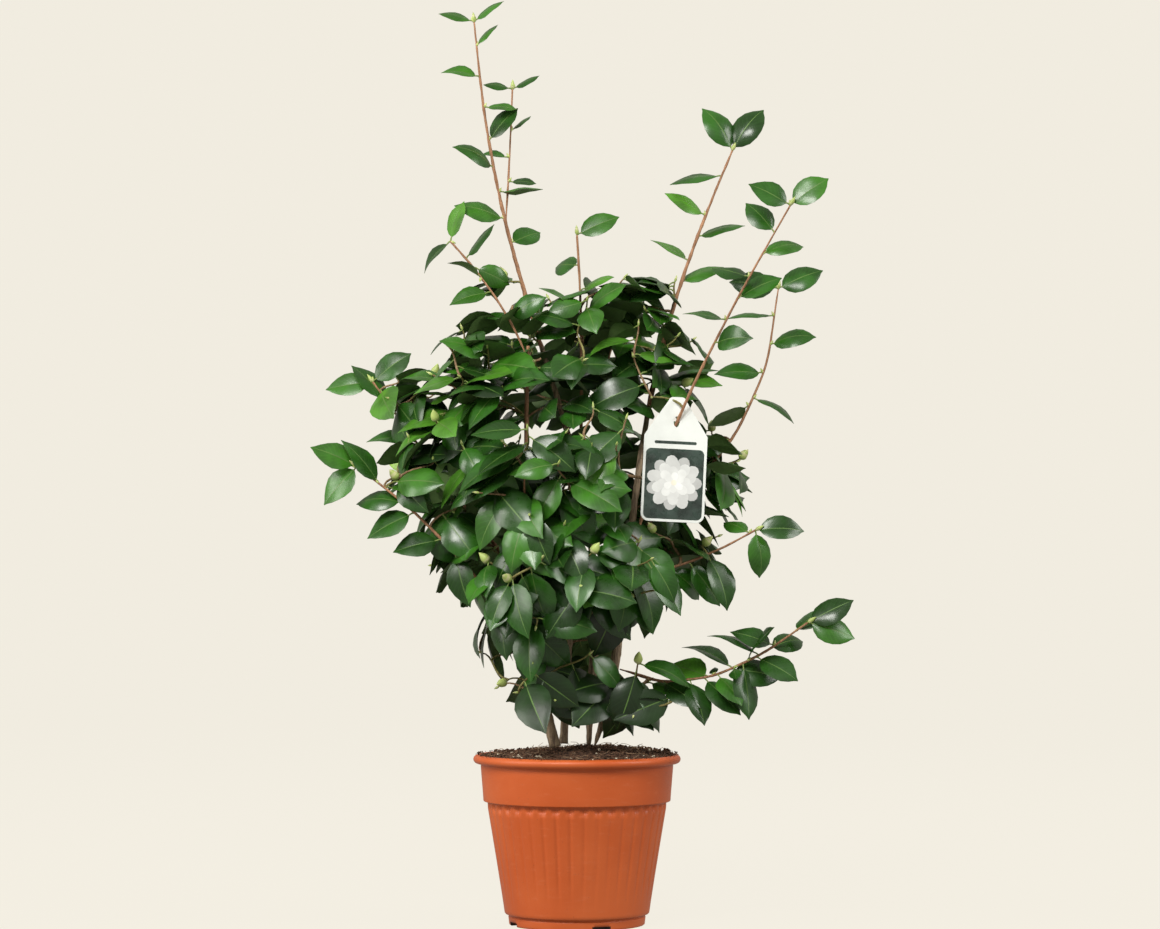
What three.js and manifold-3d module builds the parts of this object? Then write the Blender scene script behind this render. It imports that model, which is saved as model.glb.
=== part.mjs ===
// A young camellia shrub in a plastic nursery pot, with a hang label on one of its shoots.
// Millimetres, +Z up. The origin is the middle of the pot's flat underside, and the front is -Y.
//
// Stems stay whole from the soil to their tips. Boughs spring from a stem at a share of its length.
// Leaves are closed uneven masses: rounded ones fill the crown, and sprays of leaf-sized pads
// follow the bare shoots. Every mass is cut clear of the limbs, the label and the masses before it.

import * as THREE from 'three';
import { mergeVertices } from 'three/addons/utils/BufferGeometryUtils.js';
import Module from 'manifold-3d';

const wasm = await Module();
wasm.setup();
const { Manifold } = wasm;

// ---- Driving sizes ----

const GAP = 0.3; // clear space between pieces that touch
const MASS_GAP = 0.7; // added all round a mass before it cuts its neighbour

const POT = {
  height: 196,
  footRadius: 78,
  footHeight: 11,
  wallFootRadius: 84,
  stepRadius: 103,
  stepHeight: 142,
  bandFootRadius: 108,
  bandTopRadius: 111.5,
  bandTop: 183,
  lipRadius: 120,
  lipDrop: 5.5, // how far below the top the lip is widest
  wall: 2.4,
  floor: 3,
  sides: 24,
};

const DRAIN = { count: 4, firstTurn: -69, width: 20, height: 4.5, depth: 9 }; // turn in degrees

const SOIL = { edgeLevel: 193, shoulderRadius: 88, shoulder: 202, level: 206, flatRadius: 48 };

const STEM_FACETS = { sides: 6, steps: 8 };
const BOUGH_FACETS = { sides: 5, steps: 4 };
const SLEEVE_SIDES = 4; // the square sleeves round limbs
const SLEEVE_STEPS = 2;
const TIP_ROOM = 1.5; // clear room round a limb's tip, against its radius
const FLARE_HEIGHT = 22; // the swelling of a stem just above the soil
const FLARE_GROWTH = 0.55;

const LEAF = {
  length: 64,
  width: 34,
  thickness: 8,
  sides: 4,
  rings: 2,
  roll: [0.1, 0.8], // least and most radians that a blade is tilted towards the front
  sunk: 4, // how far a pad's foot reaches past the middle of its limb
};

const LABEL = {
  width: 72,
  body: 99, // height of the straight part
  head: 45, // height of the tapering head
  headWidth: 20,
  cornerRadius: 9,
  thickness: 0.8,
  holeWidth: 7,
  holeHeight: 13,
  holeAbove: 16.5, // hole's middle above the straight part
  turn: 2.5, // degrees, seen from the front
  tip: 8, // degrees that its foot swings forward
  share: 0.46, // where it hangs along its shoot
};

// ---- Colours ----

const COLOURS = {
  pot: 0xc0623a,
  soil: 0x2a1f17,
  label: 0xeef0e8,
  bark: 0x8d7558,
  shoot: 0xa8693f,
  leaf: 0x2c5a2a,
};

// ---- Where the limbs run ----
// Each limb is a curve from its foot to its tip. A stem's foot is a place on the soil. A bough's
// foot is a share of the length of the limb that it springs from. The bends pull the curve.

const STEMS = {
  stem_left: {
    foot: [-26, -40], bends: [[-58, -52, 325], [-62, -55, 490]], tip: [-56, -45, 667], girth: [5.8, 2],
  },
  stem_middle: {
    foot: [7, 2], bends: [[78, 12, 550], [-94, -22, 640]], tip: [-119, -30, 1043], girth: [6, 1.1],
  },
  stem_right: {
    foot: [28, -28], bends: [[84, -20, 490], [41, 10, 584]], tip: [182, 20, 900], girth: [6.8, 1.2],
  },
  stem_thin: {
    foot: [-16, 22], bends: [[-2, 35, 421], [15, 25, 607]], tip: [0, 10, 800], girth: [3.6, 1.3],
  },
};

const BOUGHS = {
  bough_left_crest: {
    from: 'stem_left', at: 0.97, bend: [-84, -45, 722], tip: [-146, -38, 788], girth: [2, 1.2],
  },
  bough_left_high: {
    from: 'stem_left', at: 0.4, bend: [-142, 10, 492], tip: [-240, 40, 630], girth: [2.8, 1.3],
  },
  bough_left_low: {
    from: 'stem_left', at: 0.22, bend: [-142, -75, 455], tip: [-250, -80, 527], girth: [3, 1.4],
  },
  bough_tall_side: {
    from: 'stem_middle', at: 0.72, bend: [-78, -10, 880], tip: [-75, -8, 968], girth: [1.6, 1.1],
  },
  bough_right_long: {
    from: 'stem_right', at: 0.3, bend: [92, -60, 571], tip: [238, -165, 816], girth: [2.8, 1.1],
  },
  bough_right_short: {
    from: 'stem_right', at: 0.34, bend: [236, 66, 560], tip: [238, 72, 742], girth: [2.6, 1.3],
  },
  bough_right_mid: {
    from: 'stem_right', at: 0.27, bend: [142, -30, 416], tip: [205, -42, 455], girth: [2.2, 1.3],
  },
  bough_right_low: {
    from: 'stem_right', at: 0.13, bend: [129, -60, 243], tip: [262, -85, 350], girth: [2.6, 1.3],
  },
  bough_front_left: {
    from: 'stem_left', at: 0.5, bend: [-62, -110, 470], tip: [-58, -128, 520], girth: [2.2, 1.4],
  },
  bough_front_right: {
    from: 'stem_right', at: 0.2, bend: [60, -80, 350], tip: [58, -95, 390], girth: [2.2, 1.4],
  },
  bough_back_left: {
    from: 'stem_thin', at: 0.28, bend: [-60, 105, 440], tip: [-82, 122, 520], girth: [2.4, 1.4],
  },
  bough_back_right: {
    from: 'stem_right', at: 0.18, bend: [70, 95, 410], tip: [70, 120, 520], girth: [2.6, 1.4],
  },
  bough_back_low: {
    from: 'stem_thin', at: 0.08, bend: [-10, 70, 270], tip: [-8, 82, 300], girth: [2, 1.4],
  },
};

// ---- Masses of leaves that fill the crown: middle, half sizes and how each one's lumps fall ----

const MASSES = {
  leaves_low_left: { at: [-82, -18, 322], half: [33, 55, 62], lumps: 1 },
  leaves_low_front: { at: [-20, -80, 290], half: [60, 42, 52], lumps: 2 },
  leaves_low_right: { at: [74, -58, 272], half: [56, 48, 48], lumps: 3 },
  leaves_low_back: { at: [0, 78, 306], half: [80, 52, 62], lumps: 4 },
  leaves_mid_left: { at: [-130, -5, 436], half: [52, 76, 50], lumps: 5 },
  leaves_mid_front: { at: [-42, -114, 406], half: [78, 56, 76], lumps: 6 },
  leaves_mid_front_right: { at: [56, -96, 404], half: [54, 54, 76], lumps: 7 },
  leaves_mid_right: { at: [122, 0, 446], half: [56, 68, 46], lumps: 8 },
  leaves_mid_back_left: { at: [-76, 110, 408], half: [76, 56, 72], lumps: 9 },
  leaves_mid_back_right: { at: [58, 112, 418], half: [70, 56, 70], lumps: 10 },
  leaves_upper_left: { at: [-156, -20, 526], half: [70, 81, 60], lumps: 11 },
  leaves_upper_front: { at: [-52, -118, 526], half: [80, 56, 78], lumps: 12 },
  leaves_upper_front_right: { at: [34, -106, 536], half: [47, 50, 80], lumps: 13 },
  leaves_upper_right: { at: [158, 32, 530], half: [58, 63, 66], lumps: 14 },
  leaves_upper_back_left: { at: [-84, 118, 528], half: [84, 59, 76], lumps: 15 },
  leaves_upper_back_right: { at: [74, 122, 534], half: [79, 56, 78], lumps: 16 },
  leaves_left_shoulder: { at: [-184, 24, 620], half: [50, 50, 46], lumps: 17 },
  leaves_top_left: { at: [-110, -34, 634], half: [66, 68, 62], lumps: 18 },
  leaves_top_front: { at: [-16, -62, 646], half: [60, 56, 64], lumps: 19 },
  leaves_top_right: { at: [86, -12, 642], half: [62, 66, 62], lumps: 20 },
  leaves_top_back: { at: [-2, 86, 646], half: [97, 52, 66], lumps: 21 },
  leaves_crest_left: { at: [-74, -14, 718], half: [50, 47, 46], lumps: 22 },
  leaves_crest_middle: { at: [10, 8, 730], half: [54, 54, 58], lumps: 23 },
  leaves_crest_right: { at: [92, 8, 716], half: [46, 45, 48], lumps: 24 },
};

const MASS_DETAIL = 1; // how finely a mass's sphere is divided
const LUMP_DEPTH = 0.2; // lumps as a share of a mass's size

// ---- Sprays: leaf-sized pads, first one side and then the other, along the end of a limb ----
// start and end are shares of the limb's length, and side is the first leaf's bearing in degrees.
// tips are the leaves at the limb's very end, each told by its lean from upright in degrees.

const SPRAYS = {
  spray_tall_low: { along: 'stem_middle', start: 0.69, end: 0.84, leaves: 5, side: 20, scale: 0.92 },
  spray_tall_tip: {
    along: 'stem_middle', start: 0.88, end: 0.97, leaves: 3, side: 10, scale: 0.7, tips: [-70, 48],
    tipRoll: 0.3,
  },
  spray_tall_side: {
    along: 'bough_tall_side', start: 0.3, end: 0.9, leaves: 4, side: 10, scale: 0.58, tips: [-75, 60],
    tipRoll: 0.5,
  },
  spray_right_inner: { along: 'stem_right', start: 0.72, end: 0.89, leaves: 5, side: 175, scale: 0.92 },
  spray_right_inner_tip: {
    along: 'stem_right', start: 0.95, end: 0.98, leaves: 1, side: 186, scale: 1.06, tips: [-28, 31],
  },
  spray_right_long: {
    along: 'bough_right_long', start: 0.66, end: 0.93, leaves: 5, side: 170, scale: 0.86, tips: [-60, 52],
  },
  spray_right_short: {
    along: 'bough_right_short', start: 0.42, end: 0.93, leaves: 6, side: -5, scale: 0.96, tips: [-78, 64],
    rise: [-12, 22],
  },
  spray_left_crest: {
    along: 'bough_left_crest', start: 0.3, end: 0.85, leaves: 4, side: 185, scale: 0.8, tips: [-132, 14],
    tipRoll: 0.5,
  },
  spray_left_high: {
    along: 'bough_left_high', start: 0.6, end: 0.93, leaves: 4, side: 10, scale: 0.92, tips: [-97, 50],
  },
  spray_left_low: {
    along: 'bough_left_low', start: 0.7, end: 0.92, leaves: 4, side: 15, scale: 0.95, tips: [-64, -136],
  },
  spray_right_mid: {
    along: 'bough_right_mid', start: 0.6, end: 0.85, leaves: 2, side: -40, scale: 0.95, tips: [86, 168],
  },
  spray_right_low: { along: 'bough_right_low', start: 0.38, end: 0.74, leaves: 6, side: -30, scale: 1.04 },
  spray_right_low_tip: {
    along: 'bough_right_low', start: 0.78, end: 0.93, leaves: 3, side: 15, scale: 0.94, tips: [62, 106],
  },
  spray_middle_tip: {
    along: 'stem_thin', start: 0.93, end: 0.99, leaves: 2, side: 190, scale: 0.88, tips: [64],
  },
};

const SPRAY_RULE = { // what a spray does unless its own plan says otherwise
  tips: [],
  tipRoll: 1.05, // radians that the leaves at the limb's end are tilted towards the front
  sleeveGrowth: 2.2, // a spray's sleeve against its limb's radius
  sleeveSlack: 2,
  firstLeaf: 0.04, // shares of the spray's length
  lastLeaf: 0.96,
  wander: 24, // degrees that a leaf may turn from its side
  rise: [8, 34], // slope of the first leaf, and what the last one adds to it
  slopeRipple: 14,
  sizeRipple: 0.12,
  knotRadius: 6, // of the knot that joins the leaves at a limb's end
};

// ---- Solids ----

function solidFrom(geometry) {
  const plain = geometry.index ? geometry.toNonIndexed() : geometry.clone();
  plain.deleteAttribute('normal');
  plain.deleteAttribute('uv');
  const merged = mergeVertices(plain, 1e-4);
  return new Manifold(new wasm.Mesh({
    numProp: 3,
    vertProperties: new Float32Array(merged.attributes.position.array),
    triVerts: new Uint32Array(merged.index.array),
  }));
}

function geometryFrom(solid) {
  const mesh = solid.getMesh();
  const geometry = new THREE.BufferGeometry();
  geometry.setAttribute('position', new THREE.BufferAttribute(new Float32Array(mesh.vertProperties), 3));
  geometry.setIndex(new THREE.BufferAttribute(new Uint32Array(mesh.triVerts), 1));
  const faceted = geometry.toNonIndexed();
  faceted.computeVertexNormals();
  return faceted;
}

function biggestPiece(solid) {
  const pieces = solid.decompose();
  pieces.sort((a, b) => b.volume() - a.volume());
  return pieces[0];
}

function touches(a, b) {
  const boxA = a.boundingBox();
  const boxB = b.boundingBox();
  return [0, 1, 2].every((i) => boxA.min[i] < boxB.max[i] && boxB.min[i] < boxA.max[i]);
}

function cutClear(solid, obstacles) {
  let rest = solid;
  for (const obstacle of obstacles) {
    if (touches(rest, obstacle)) rest = rest.subtract(obstacle);
  }
  return biggestPiece(rest);
}

// The two directions across a curve, kept from turning by a fixed axis that lies well across it.
function crossFrame(curve, share, fixedAxis) {
  const ahead = curve.getTangentAt(share);
  const across = fixedAxis.clone().addScaledVector(ahead, -fixedAxis.dot(ahead)).normalize();
  const other = new THREE.Vector3().crossVectors(ahead, across);
  return { across, other };
}

function axisAcross(curve) {
  const chord = curve.getPoint(1).sub(curve.getPoint(0)).normalize();
  const axes = [new THREE.Vector3(1, 0, 0), new THREE.Vector3(0, 1, 0)];
  return Math.abs(chord.x) < Math.abs(chord.y) ? axes[0] : axes[1];
}

// A closed sweep of round rings along a curve, with a radius for every share of its length.
function sweep(curve, radiusAt, sides, steps, flatFoot = false) {
  const positions = [];
  const faces = [];
  const fixedAxis = axisAcross(curve);
  for (let ring = 0; ring <= steps; ring += 1) {
    const share = ring / steps;
    const middle = curve.getPointAt(share);
    const { across, other } = crossFrame(curve, share, fixedAxis);
    for (let side = 0; side < sides; side += 1) {
      const turn = (2 * Math.PI * side) / sides;
      const point = middle.clone();
      point.addScaledVector(across, radiusAt(share) * Math.cos(turn));
      point.addScaledVector(other, radiusAt(share) * Math.sin(turn));
      if (flatFoot && ring === 0) point.z = middle.z;
      positions.push(point.x, point.y, point.z);
    }
  }
  for (let ring = 0; ring < steps; ring += 1) {
    for (let side = 0; side < sides; side += 1) {
      const here = ring * sides + side;
      const next = ring * sides + ((side + 1) % sides);
      faces.push(here, next, next + sides, here, next + sides, here + sides);
    }
  }
  const last = steps * sides;
  for (let side = 1; side < sides - 1; side += 1) {
    faces.push(0, side + 1, side, last, last + side, last + side + 1);
  }
  const geometry = new THREE.BufferGeometry();
  geometry.setAttribute('position', new THREE.Float32BufferAttribute(positions, 3));
  geometry.setIndex(faces);
  return solidFrom(geometry);
}

const vector = (place) => new THREE.Vector3(...place);
const inRadians = THREE.MathUtils.degToRad;

// ---- Pot and soil ----

function turned(outline, sides) {
  const points = outline.map(([radius, height]) => new THREE.Vector2(radius, height));
  return solidFrom(new THREE.LatheGeometry(points, sides).rotateX(Math.PI / 2));
}

function potSolid() {
  const lipFoot = POT.bandTop + 1.5;
  const innerTop = POT.bandTopRadius - POT.wall;
  const outside = [
    [0, 0],
    [POT.footRadius, 0],
    [POT.footRadius + 1.5, POT.footHeight - 2],
    [POT.footRadius, POT.footHeight],
    [POT.wallFootRadius - 1, POT.footHeight + 3],
    [POT.stepRadius, POT.stepHeight - 1],
    [POT.bandFootRadius, POT.stepHeight],
    [POT.bandTopRadius, POT.bandTop],
    [POT.bandTopRadius - 1, lipFoot],
    [POT.lipRadius - 3, lipFoot + 1],
    [POT.lipRadius, POT.height - POT.lipDrop],
    [POT.lipRadius - 1.5, POT.height - 1],
    [POT.lipRadius - 4, POT.height],
    [POT.bandTopRadius + 1.5, POT.height - 1],
    [innerTop, POT.bandTop],
    [POT.bandFootRadius - POT.wall, POT.stepHeight + POT.wall],
    [POT.stepRadius - POT.wall, POT.stepHeight - POT.wall],
    [POT.footRadius - POT.wall, POT.footHeight],
    [POT.footRadius - POT.wall, POT.floor],
    [0, POT.floor],
  ];
  let solid = turned(outside, POT.sides);
  for (let index = 0; index < DRAIN.count; index += 1) {
    const turn = inRadians(DRAIN.firstTurn + (360 * index) / DRAIN.count);
    const notch = new THREE.BoxGeometry(2 * DRAIN.depth, DRAIN.width, 2 * DRAIN.height);
    notch.rotateZ(turn);
    notch.translate(POT.footRadius * Math.cos(turn), POT.footRadius * Math.sin(turn), 0);
    solid = solid.subtract(solidFrom(notch));
  }
  return solid;
}

// Potting mix that fills the pot from its floor and rises in a low mound between the stems.
function soilSolid() {
  const clear = POT.wall + GAP;
  return turned([
    [0, POT.floor + GAP],
    [POT.footRadius - clear, POT.floor + GAP],
    [POT.footRadius - clear, POT.footHeight + GAP],
    [POT.stepRadius - clear, POT.stepHeight - POT.wall + GAP],
    [POT.bandFootRadius - clear, POT.stepHeight + POT.wall + GAP],
    [POT.bandTopRadius - clear, POT.bandTop],
    [POT.bandTopRadius, SOIL.edgeLevel],
    [SOIL.shoulderRadius, SOIL.shoulder],
    [SOIL.flatRadius, SOIL.level],
    [0, SOIL.level],
  ], POT.sides);
}

// ---- Limbs ----

function limbCurve(foot, bends, tip) {
  if (bends.length === 2) return new THREE.CubicBezierCurve3(foot, ...bends.map(vector), tip);
  return new THREE.QuadraticBezierCurve3(foot, vector(bends[0]), tip);
}

function limbRadius(limb, share) {
  const [thick, thin] = limb.girth;
  const taper = thick + (thin - thick) * share ** 0.8;
  const aboveFoot = share * limb.length;
  const flare = limb.flares ? FLARE_GROWTH * thick * Math.exp(-((aboveFoot / FLARE_HEIGHT) ** 2)) : 0;
  return taper + flare;
}

function limbSolid(limb) {
  return sweep(limb.curve, (share) => limbRadius(limb, share), limb.sides, limb.steps, limb.flares);
}

// The room that a limb needs: a square sleeve all round it that runs on a little past its tip.
function limbClearance(limb) {
  const cornerRadius = (share) => Math.SQRT2 * (limbRadius(limb, share) + GAP);
  const sleeve = sweep(limb.curve, cornerRadius, SLEEVE_SIDES, limb.steps, limb.flares);
  const ball = new THREE.OctahedronGeometry(TIP_ROOM * limb.girth[1] + GAP);
  ball.translate(...limb.curve.getPoint(1).toArray());
  return sleeve.add(solidFrom(ball));
}

function growLimbs() {
  const limbs = {};
  for (const [name, plan] of Object.entries(STEMS)) {
    const foot = new THREE.Vector3(...plan.foot, SOIL.level + GAP);
    const curve = limbCurve(foot, plan.bends, vector(plan.tip));
    limbs[name] = { ...plan, curve, length: curve.getLength(), ...STEM_FACETS, flares: true };
  }
  for (const [name, plan] of Object.entries(BOUGHS)) {
    const foot = limbs[plan.from].curve.getPointAt(plan.at);
    const curve = limbCurve(foot, [plan.bend], vector(plan.tip));
    limbs[name] = { ...plan, curve, length: curve.getLength(), ...BOUGH_FACETS, flares: false };
  }
  const before = [];
  for (const limb of Object.values(limbs)) {
    limb.solid = cutClear(limbSolid(limb), before);
    limb.clearance = limbClearance(limb);
    before.push(limb.clearance);
  }
  return limbs;
}

// ---- Masses of leaves ----

// A smooth unevenness from -1 to 1 over the directions, different for each choice of lumps.
function lumpAt(direction, lumps) {
  const { x, y, z } = direction;
  const slow = Math.sin(2.3 * x + 1.9 * lumps) + Math.sin(2.7 * y + 2.6 * lumps);
  const quick = Math.sin(4.1 * z + 3.7 * x + lumps) + Math.sin(4.6 * y - 3.1 * z + 1.3 * lumps);
  return (slow + quick) / 3;
}

function lumpySolid(at, half, lumps, detail, extra = 0) {
  const geometry = new THREE.IcosahedronGeometry(1, detail);
  const position = geometry.attributes.position;
  const direction = new THREE.Vector3();
  for (let index = 0; index < position.count; index += 1) {
    direction.fromBufferAttribute(position, index).normalize();
    const reach = 1 + LUMP_DEPTH * lumpAt(direction, lumps);
    const sizes = half.map((size) => size * reach + extra);
    position.setXYZ(
      index,
      at[0] + direction.x * sizes[0],
      at[1] + direction.y * sizes[1],
      at[2] + direction.z * sizes[2],
    );
  }
  return solidFrom(geometry);
}

// How far an ellipsoid with these half sizes reaches from its middle in a direction.
function reachAlong(half, direction) {
  return Math.hypot(half[0] * direction.x, half[1] * direction.y, half[2] * direction.z);
}

// Every mass, with a flat parting between each two that would run into one another.
function partedMasses() {
  const masses = Object.entries(MASSES).map(([name, plan]) => {
    const solid = lumpySolid(plan.at, plan.half, plan.lumps, MASS_DETAIL);
    return { name, plan, solid, middle: vector(plan.at) };
  });
  masses.forEach((first, index) => {
    for (const second of masses.slice(index + 1)) {
      if (!touches(first.solid, second.solid)) continue;
      const apart = second.middle.clone().sub(first.middle);
      const normal = apart.clone().normalize();
      const reach = reachAlong(first.plan.half, normal);
      const share = reach / (reach + reachAlong(second.plan.half, normal));
      const level = normal.dot(first.middle) + apart.length() * share;
      const away = normal.clone().negate();
      first.solid = first.solid.trimByPlane(away.toArray(), -(level - GAP / 2));
      second.solid = second.solid.trimByPlane(normal.toArray(), level + GAP / 2);
    }
  });
  return masses;
}

// One leaf as a thin pad: it leaves the limb at a bearing, rises or hangs by a slope, and is
// rolled about its own length.
function padSolid(root, bearing, slope, roll, scale, extra) {
  const pad = new THREE.SphereGeometry(1, LEAF.sides, LEAF.rings).rotateZ(-Math.PI / 2);
  const half = [LEAF.length * scale, LEAF.thickness, LEAF.width * scale];
  pad.scale(...half.map((size) => size / 2 + extra));
  pad.rotateX(Math.PI / 2 + roll);
  pad.translate((LEAF.length * scale) / 2 - LEAF.sunk, 0, 0);
  pad.rotateY(-slope);
  pad.rotateZ(bearing);
  pad.translate(...root.toArray());
  return solidFrom(pad);
}

// How far a blade is rolled: always towards the front, whichever way the leaf points.
function bladeRoll(bearing, index) {
  const [least, most] = LEAF.roll;
  const share = 0.5 + 0.5 * Math.sin(2.2 * index + 2 * bearing);
  return Math.sign(Math.cos(bearing)) * (least + (most - least) * share);
}

function spraySolid(limb, plan, extra = 0) {
  const rule = { ...SPRAY_RULE, ...plan };
  const { start, end, leaves, side, scale, tips } = rule;
  const sleeveEnd = tips.length > 0 ? 1 : end;
  const along = (s) => start + (sleeveEnd - start) * s;
  const stretch = {
    getPoint: (s) => limb.curve.getPointAt(along(s)),
    getPointAt: (s) => limb.curve.getPointAt(along(s)),
    getTangentAt: (s) => limb.curve.getTangentAt(along(s)),
  };
  const sleeveRadius = (s) => rule.sleeveGrowth * limbRadius(limb, along(s)) + rule.sleeveSlack + extra;
  let solid = sweep(stretch, sleeveRadius, SLEEVE_SIDES, SLEEVE_STEPS);
  for (let index = 0; index < leaves; index += 1) {
    const share = rule.firstLeaf + (rule.lastLeaf - rule.firstLeaf) * (index / Math.max(1, leaves - 1));
    const root = limb.curve.getPointAt(start + (end - start) * share);
    const bearing = inRadians(side + 180 * index + rule.wander * Math.sin(2.4 * index + side));
    const ripple = rule.slopeRipple * Math.sin(1.7 * index + side);
    const slope = inRadians(rule.rise[0] + rule.rise[1] * share + ripple);
    const size = scale * (1 - rule.sizeRipple * Math.sin(3.1 * index + 0.5));
    solid = solid.add(padSolid(root, bearing, slope, bladeRoll(bearing, index), size, extra));
  }
  const limbEnd = limb.curve.getPointAt(1);
  for (const lean of tips) {
    const bearing = lean < 0 ? Math.PI : 0;
    const slope = inRadians(90 - Math.abs(lean));
    const roll = rule.tipRoll * Math.sign(lean);
    solid = solid.add(padSolid(limbEnd, bearing, slope, roll, scale, extra));
  }
  if (tips.length > 0) {
    const knot = new THREE.OctahedronGeometry(rule.knotRadius + extra).translate(...limbEnd.toArray());
    solid = solid.add(solidFrom(knot));
  }
  return solid;
}

// ---- Hang label ----

// A straight card with rounded lower corners, a tapering head and a slit that the shoot passes.
function labelGeometry() {
  const halfWidth = LABEL.width / 2;
  const halfHead = LABEL.headWidth / 2;
  const outline = new THREE.Shape();
  outline.moveTo(-halfWidth + LABEL.cornerRadius, 0);
  outline.lineTo(halfWidth - LABEL.cornerRadius, 0);
  outline.quadraticCurveTo(halfWidth, 0, halfWidth, LABEL.cornerRadius);
  outline.lineTo(halfWidth, LABEL.body);
  outline.lineTo(halfHead, LABEL.body + LABEL.head);
  outline.lineTo(-halfHead, LABEL.body + LABEL.head);
  outline.lineTo(-halfWidth, LABEL.body);
  outline.lineTo(-halfWidth, LABEL.cornerRadius);
  outline.quadraticCurveTo(-halfWidth, 0, -halfWidth + LABEL.cornerRadius, 0);
  const hole = new THREE.Path();
  const middle = LABEL.body + LABEL.holeAbove;
  hole.absellipse(0, middle, LABEL.holeWidth / 2, LABEL.holeHeight / 2, 0, 2 * Math.PI, true);
  outline.holes.push(hole);
  const card = new THREE.ExtrudeGeometry(outline, {
    depth: LABEL.thickness,
    bevelEnabled: false,
    curveSegments: 4,
  });
  card.translate(0, -middle, -LABEL.thickness / 2);
  card.rotateX(Math.PI / 2 - inRadians(LABEL.tip));
  card.rotateY(inRadians(LABEL.turn));
  return card;
}

// The card hangs where its shoot runs through the slit.
function hungLabel(limbs) {
  const shoot = limbs.bough_right_long;
  const place = shoot.curve.getPoint(LABEL.share);
  const card = labelGeometry();
  card.translate(...place.toArray());
  return cutClear(solidFrom(card), [shoot.clearance]);
}

// ---- The whole plant ----

const group = new THREE.Group();

function show(name, solid, colour, roughness) {
  const material = new THREE.MeshStandardMaterial({ color: colour, roughness, metalness: 0 });
  const mesh = new THREE.Mesh(geometryFrom(solid), material);
  mesh.name = name;
  group.add(mesh);
}

const limbs = growLimbs();
const label = hungLabel(limbs);
const card = label.hull();
const labelClearance = card.translate([0, -GAP, 0]).add(card.translate([0, GAP, 0])).hull();

show('pot', potSolid(), COLOURS.pot, 0.45);
show('soil', soilSolid(), COLOURS.soil, 1);
for (const [name, limb] of Object.entries(limbs)) {
  show(name, limb.solid, limb.flares ? COLOURS.bark : COLOURS.shoot, 0.8);
}
show('hang_label', label, COLOURS.label, 0.5);

const taken = Object.values(limbs).map((limb) => limb.clearance);
taken.push(labelClearance);
const masses = partedMasses();
for (const mass of masses) {
  show(mass.name, cutClear(mass.solid, taken), COLOURS.leaf, 0.6);
}
for (const { plan } of masses) {
  taken.push(lumpySolid(plan.at, plan.half, plan.lumps, MASS_DETAIL, MASS_GAP));
}
for (const [name, plan] of Object.entries(SPRAYS)) {
  const limb = limbs[plan.along];
  show(name, cutClear(spraySolid(limb, plan), taken), COLOURS.leaf, 0.6);
  taken.push(spraySolid(limb, plan, MASS_GAP));
}

export default group;
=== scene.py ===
"""A potted camellia shrub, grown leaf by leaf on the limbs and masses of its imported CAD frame.

Each CAD limb gives a centre line that bark grows round. Each CAD mass is a room that twigs grow
into, and each leaf-sized pad of a CAD spray gives one leaf. Lengths are in metres.
"""

import math
import random

import bmesh
import bpy
import numpy as np
from mathutils import Matrix, Vector, noise
from mathutils.bvhtree import BVHTree


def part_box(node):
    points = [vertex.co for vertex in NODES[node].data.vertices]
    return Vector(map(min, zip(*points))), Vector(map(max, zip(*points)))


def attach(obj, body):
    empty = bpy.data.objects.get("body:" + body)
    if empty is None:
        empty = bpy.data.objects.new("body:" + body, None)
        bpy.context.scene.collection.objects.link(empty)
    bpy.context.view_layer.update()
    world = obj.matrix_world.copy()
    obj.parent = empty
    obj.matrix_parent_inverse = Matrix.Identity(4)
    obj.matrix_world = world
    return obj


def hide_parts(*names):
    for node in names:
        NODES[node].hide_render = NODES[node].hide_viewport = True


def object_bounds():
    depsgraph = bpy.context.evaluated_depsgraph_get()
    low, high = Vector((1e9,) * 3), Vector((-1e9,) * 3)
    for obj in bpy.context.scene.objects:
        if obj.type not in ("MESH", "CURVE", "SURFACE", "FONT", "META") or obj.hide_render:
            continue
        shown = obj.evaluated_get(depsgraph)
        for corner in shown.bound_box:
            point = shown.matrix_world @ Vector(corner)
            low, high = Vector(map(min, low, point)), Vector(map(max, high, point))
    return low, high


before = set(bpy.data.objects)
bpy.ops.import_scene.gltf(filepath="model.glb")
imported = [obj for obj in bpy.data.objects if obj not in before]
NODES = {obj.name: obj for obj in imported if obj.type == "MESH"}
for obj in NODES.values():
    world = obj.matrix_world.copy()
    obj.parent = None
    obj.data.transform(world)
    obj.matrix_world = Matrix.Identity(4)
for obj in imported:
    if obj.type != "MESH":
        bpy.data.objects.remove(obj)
LOADED_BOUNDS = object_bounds()
MM = 0.001
SAME_PLACE = 1e-6  # corners closer than this are one
UP = Vector((0, 0, 1))
FRONT = Vector((0, -1, 0))

LIMB_NAMES = [name for name in NODES if name.startswith(("stem_", "bough_"))]
MASS_NAMES = [name for name in NODES if name.startswith("leaves_")]
SPRAY_NAMES = [name for name in NODES if name.startswith("spray_")]


# ---- Small helpers ----

def clamp(value, low=0.0, high=1.0):
    return max(low, min(high, value))


def smooth_step(low, high, value):
    share = clamp((value - low) / (high - low))
    return share * share * (3 - 2 * share)


def across(direction, wish):
    """The part of a wish that lies square across a direction, as a unit vector."""
    rest = wish - direction * wish.dot(direction)
    if rest.length < 1e-6:
        rest = direction.orthogonal()
    return rest.normalized()


def spot(radius, turn, middle=(0, 0)):
    """The flat place at a radius and a turn, in radians, about a middle."""
    return middle[0] + radius * math.cos(turn), middle[1] + radius * math.sin(turn)


def arc(middle, radius, first, last, count):
    """Places on an arc, between two angles in degrees."""
    for step in range(count + 1):
        yield spot(radius, math.radians(first + (last - first) * step / count), middle)


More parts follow.
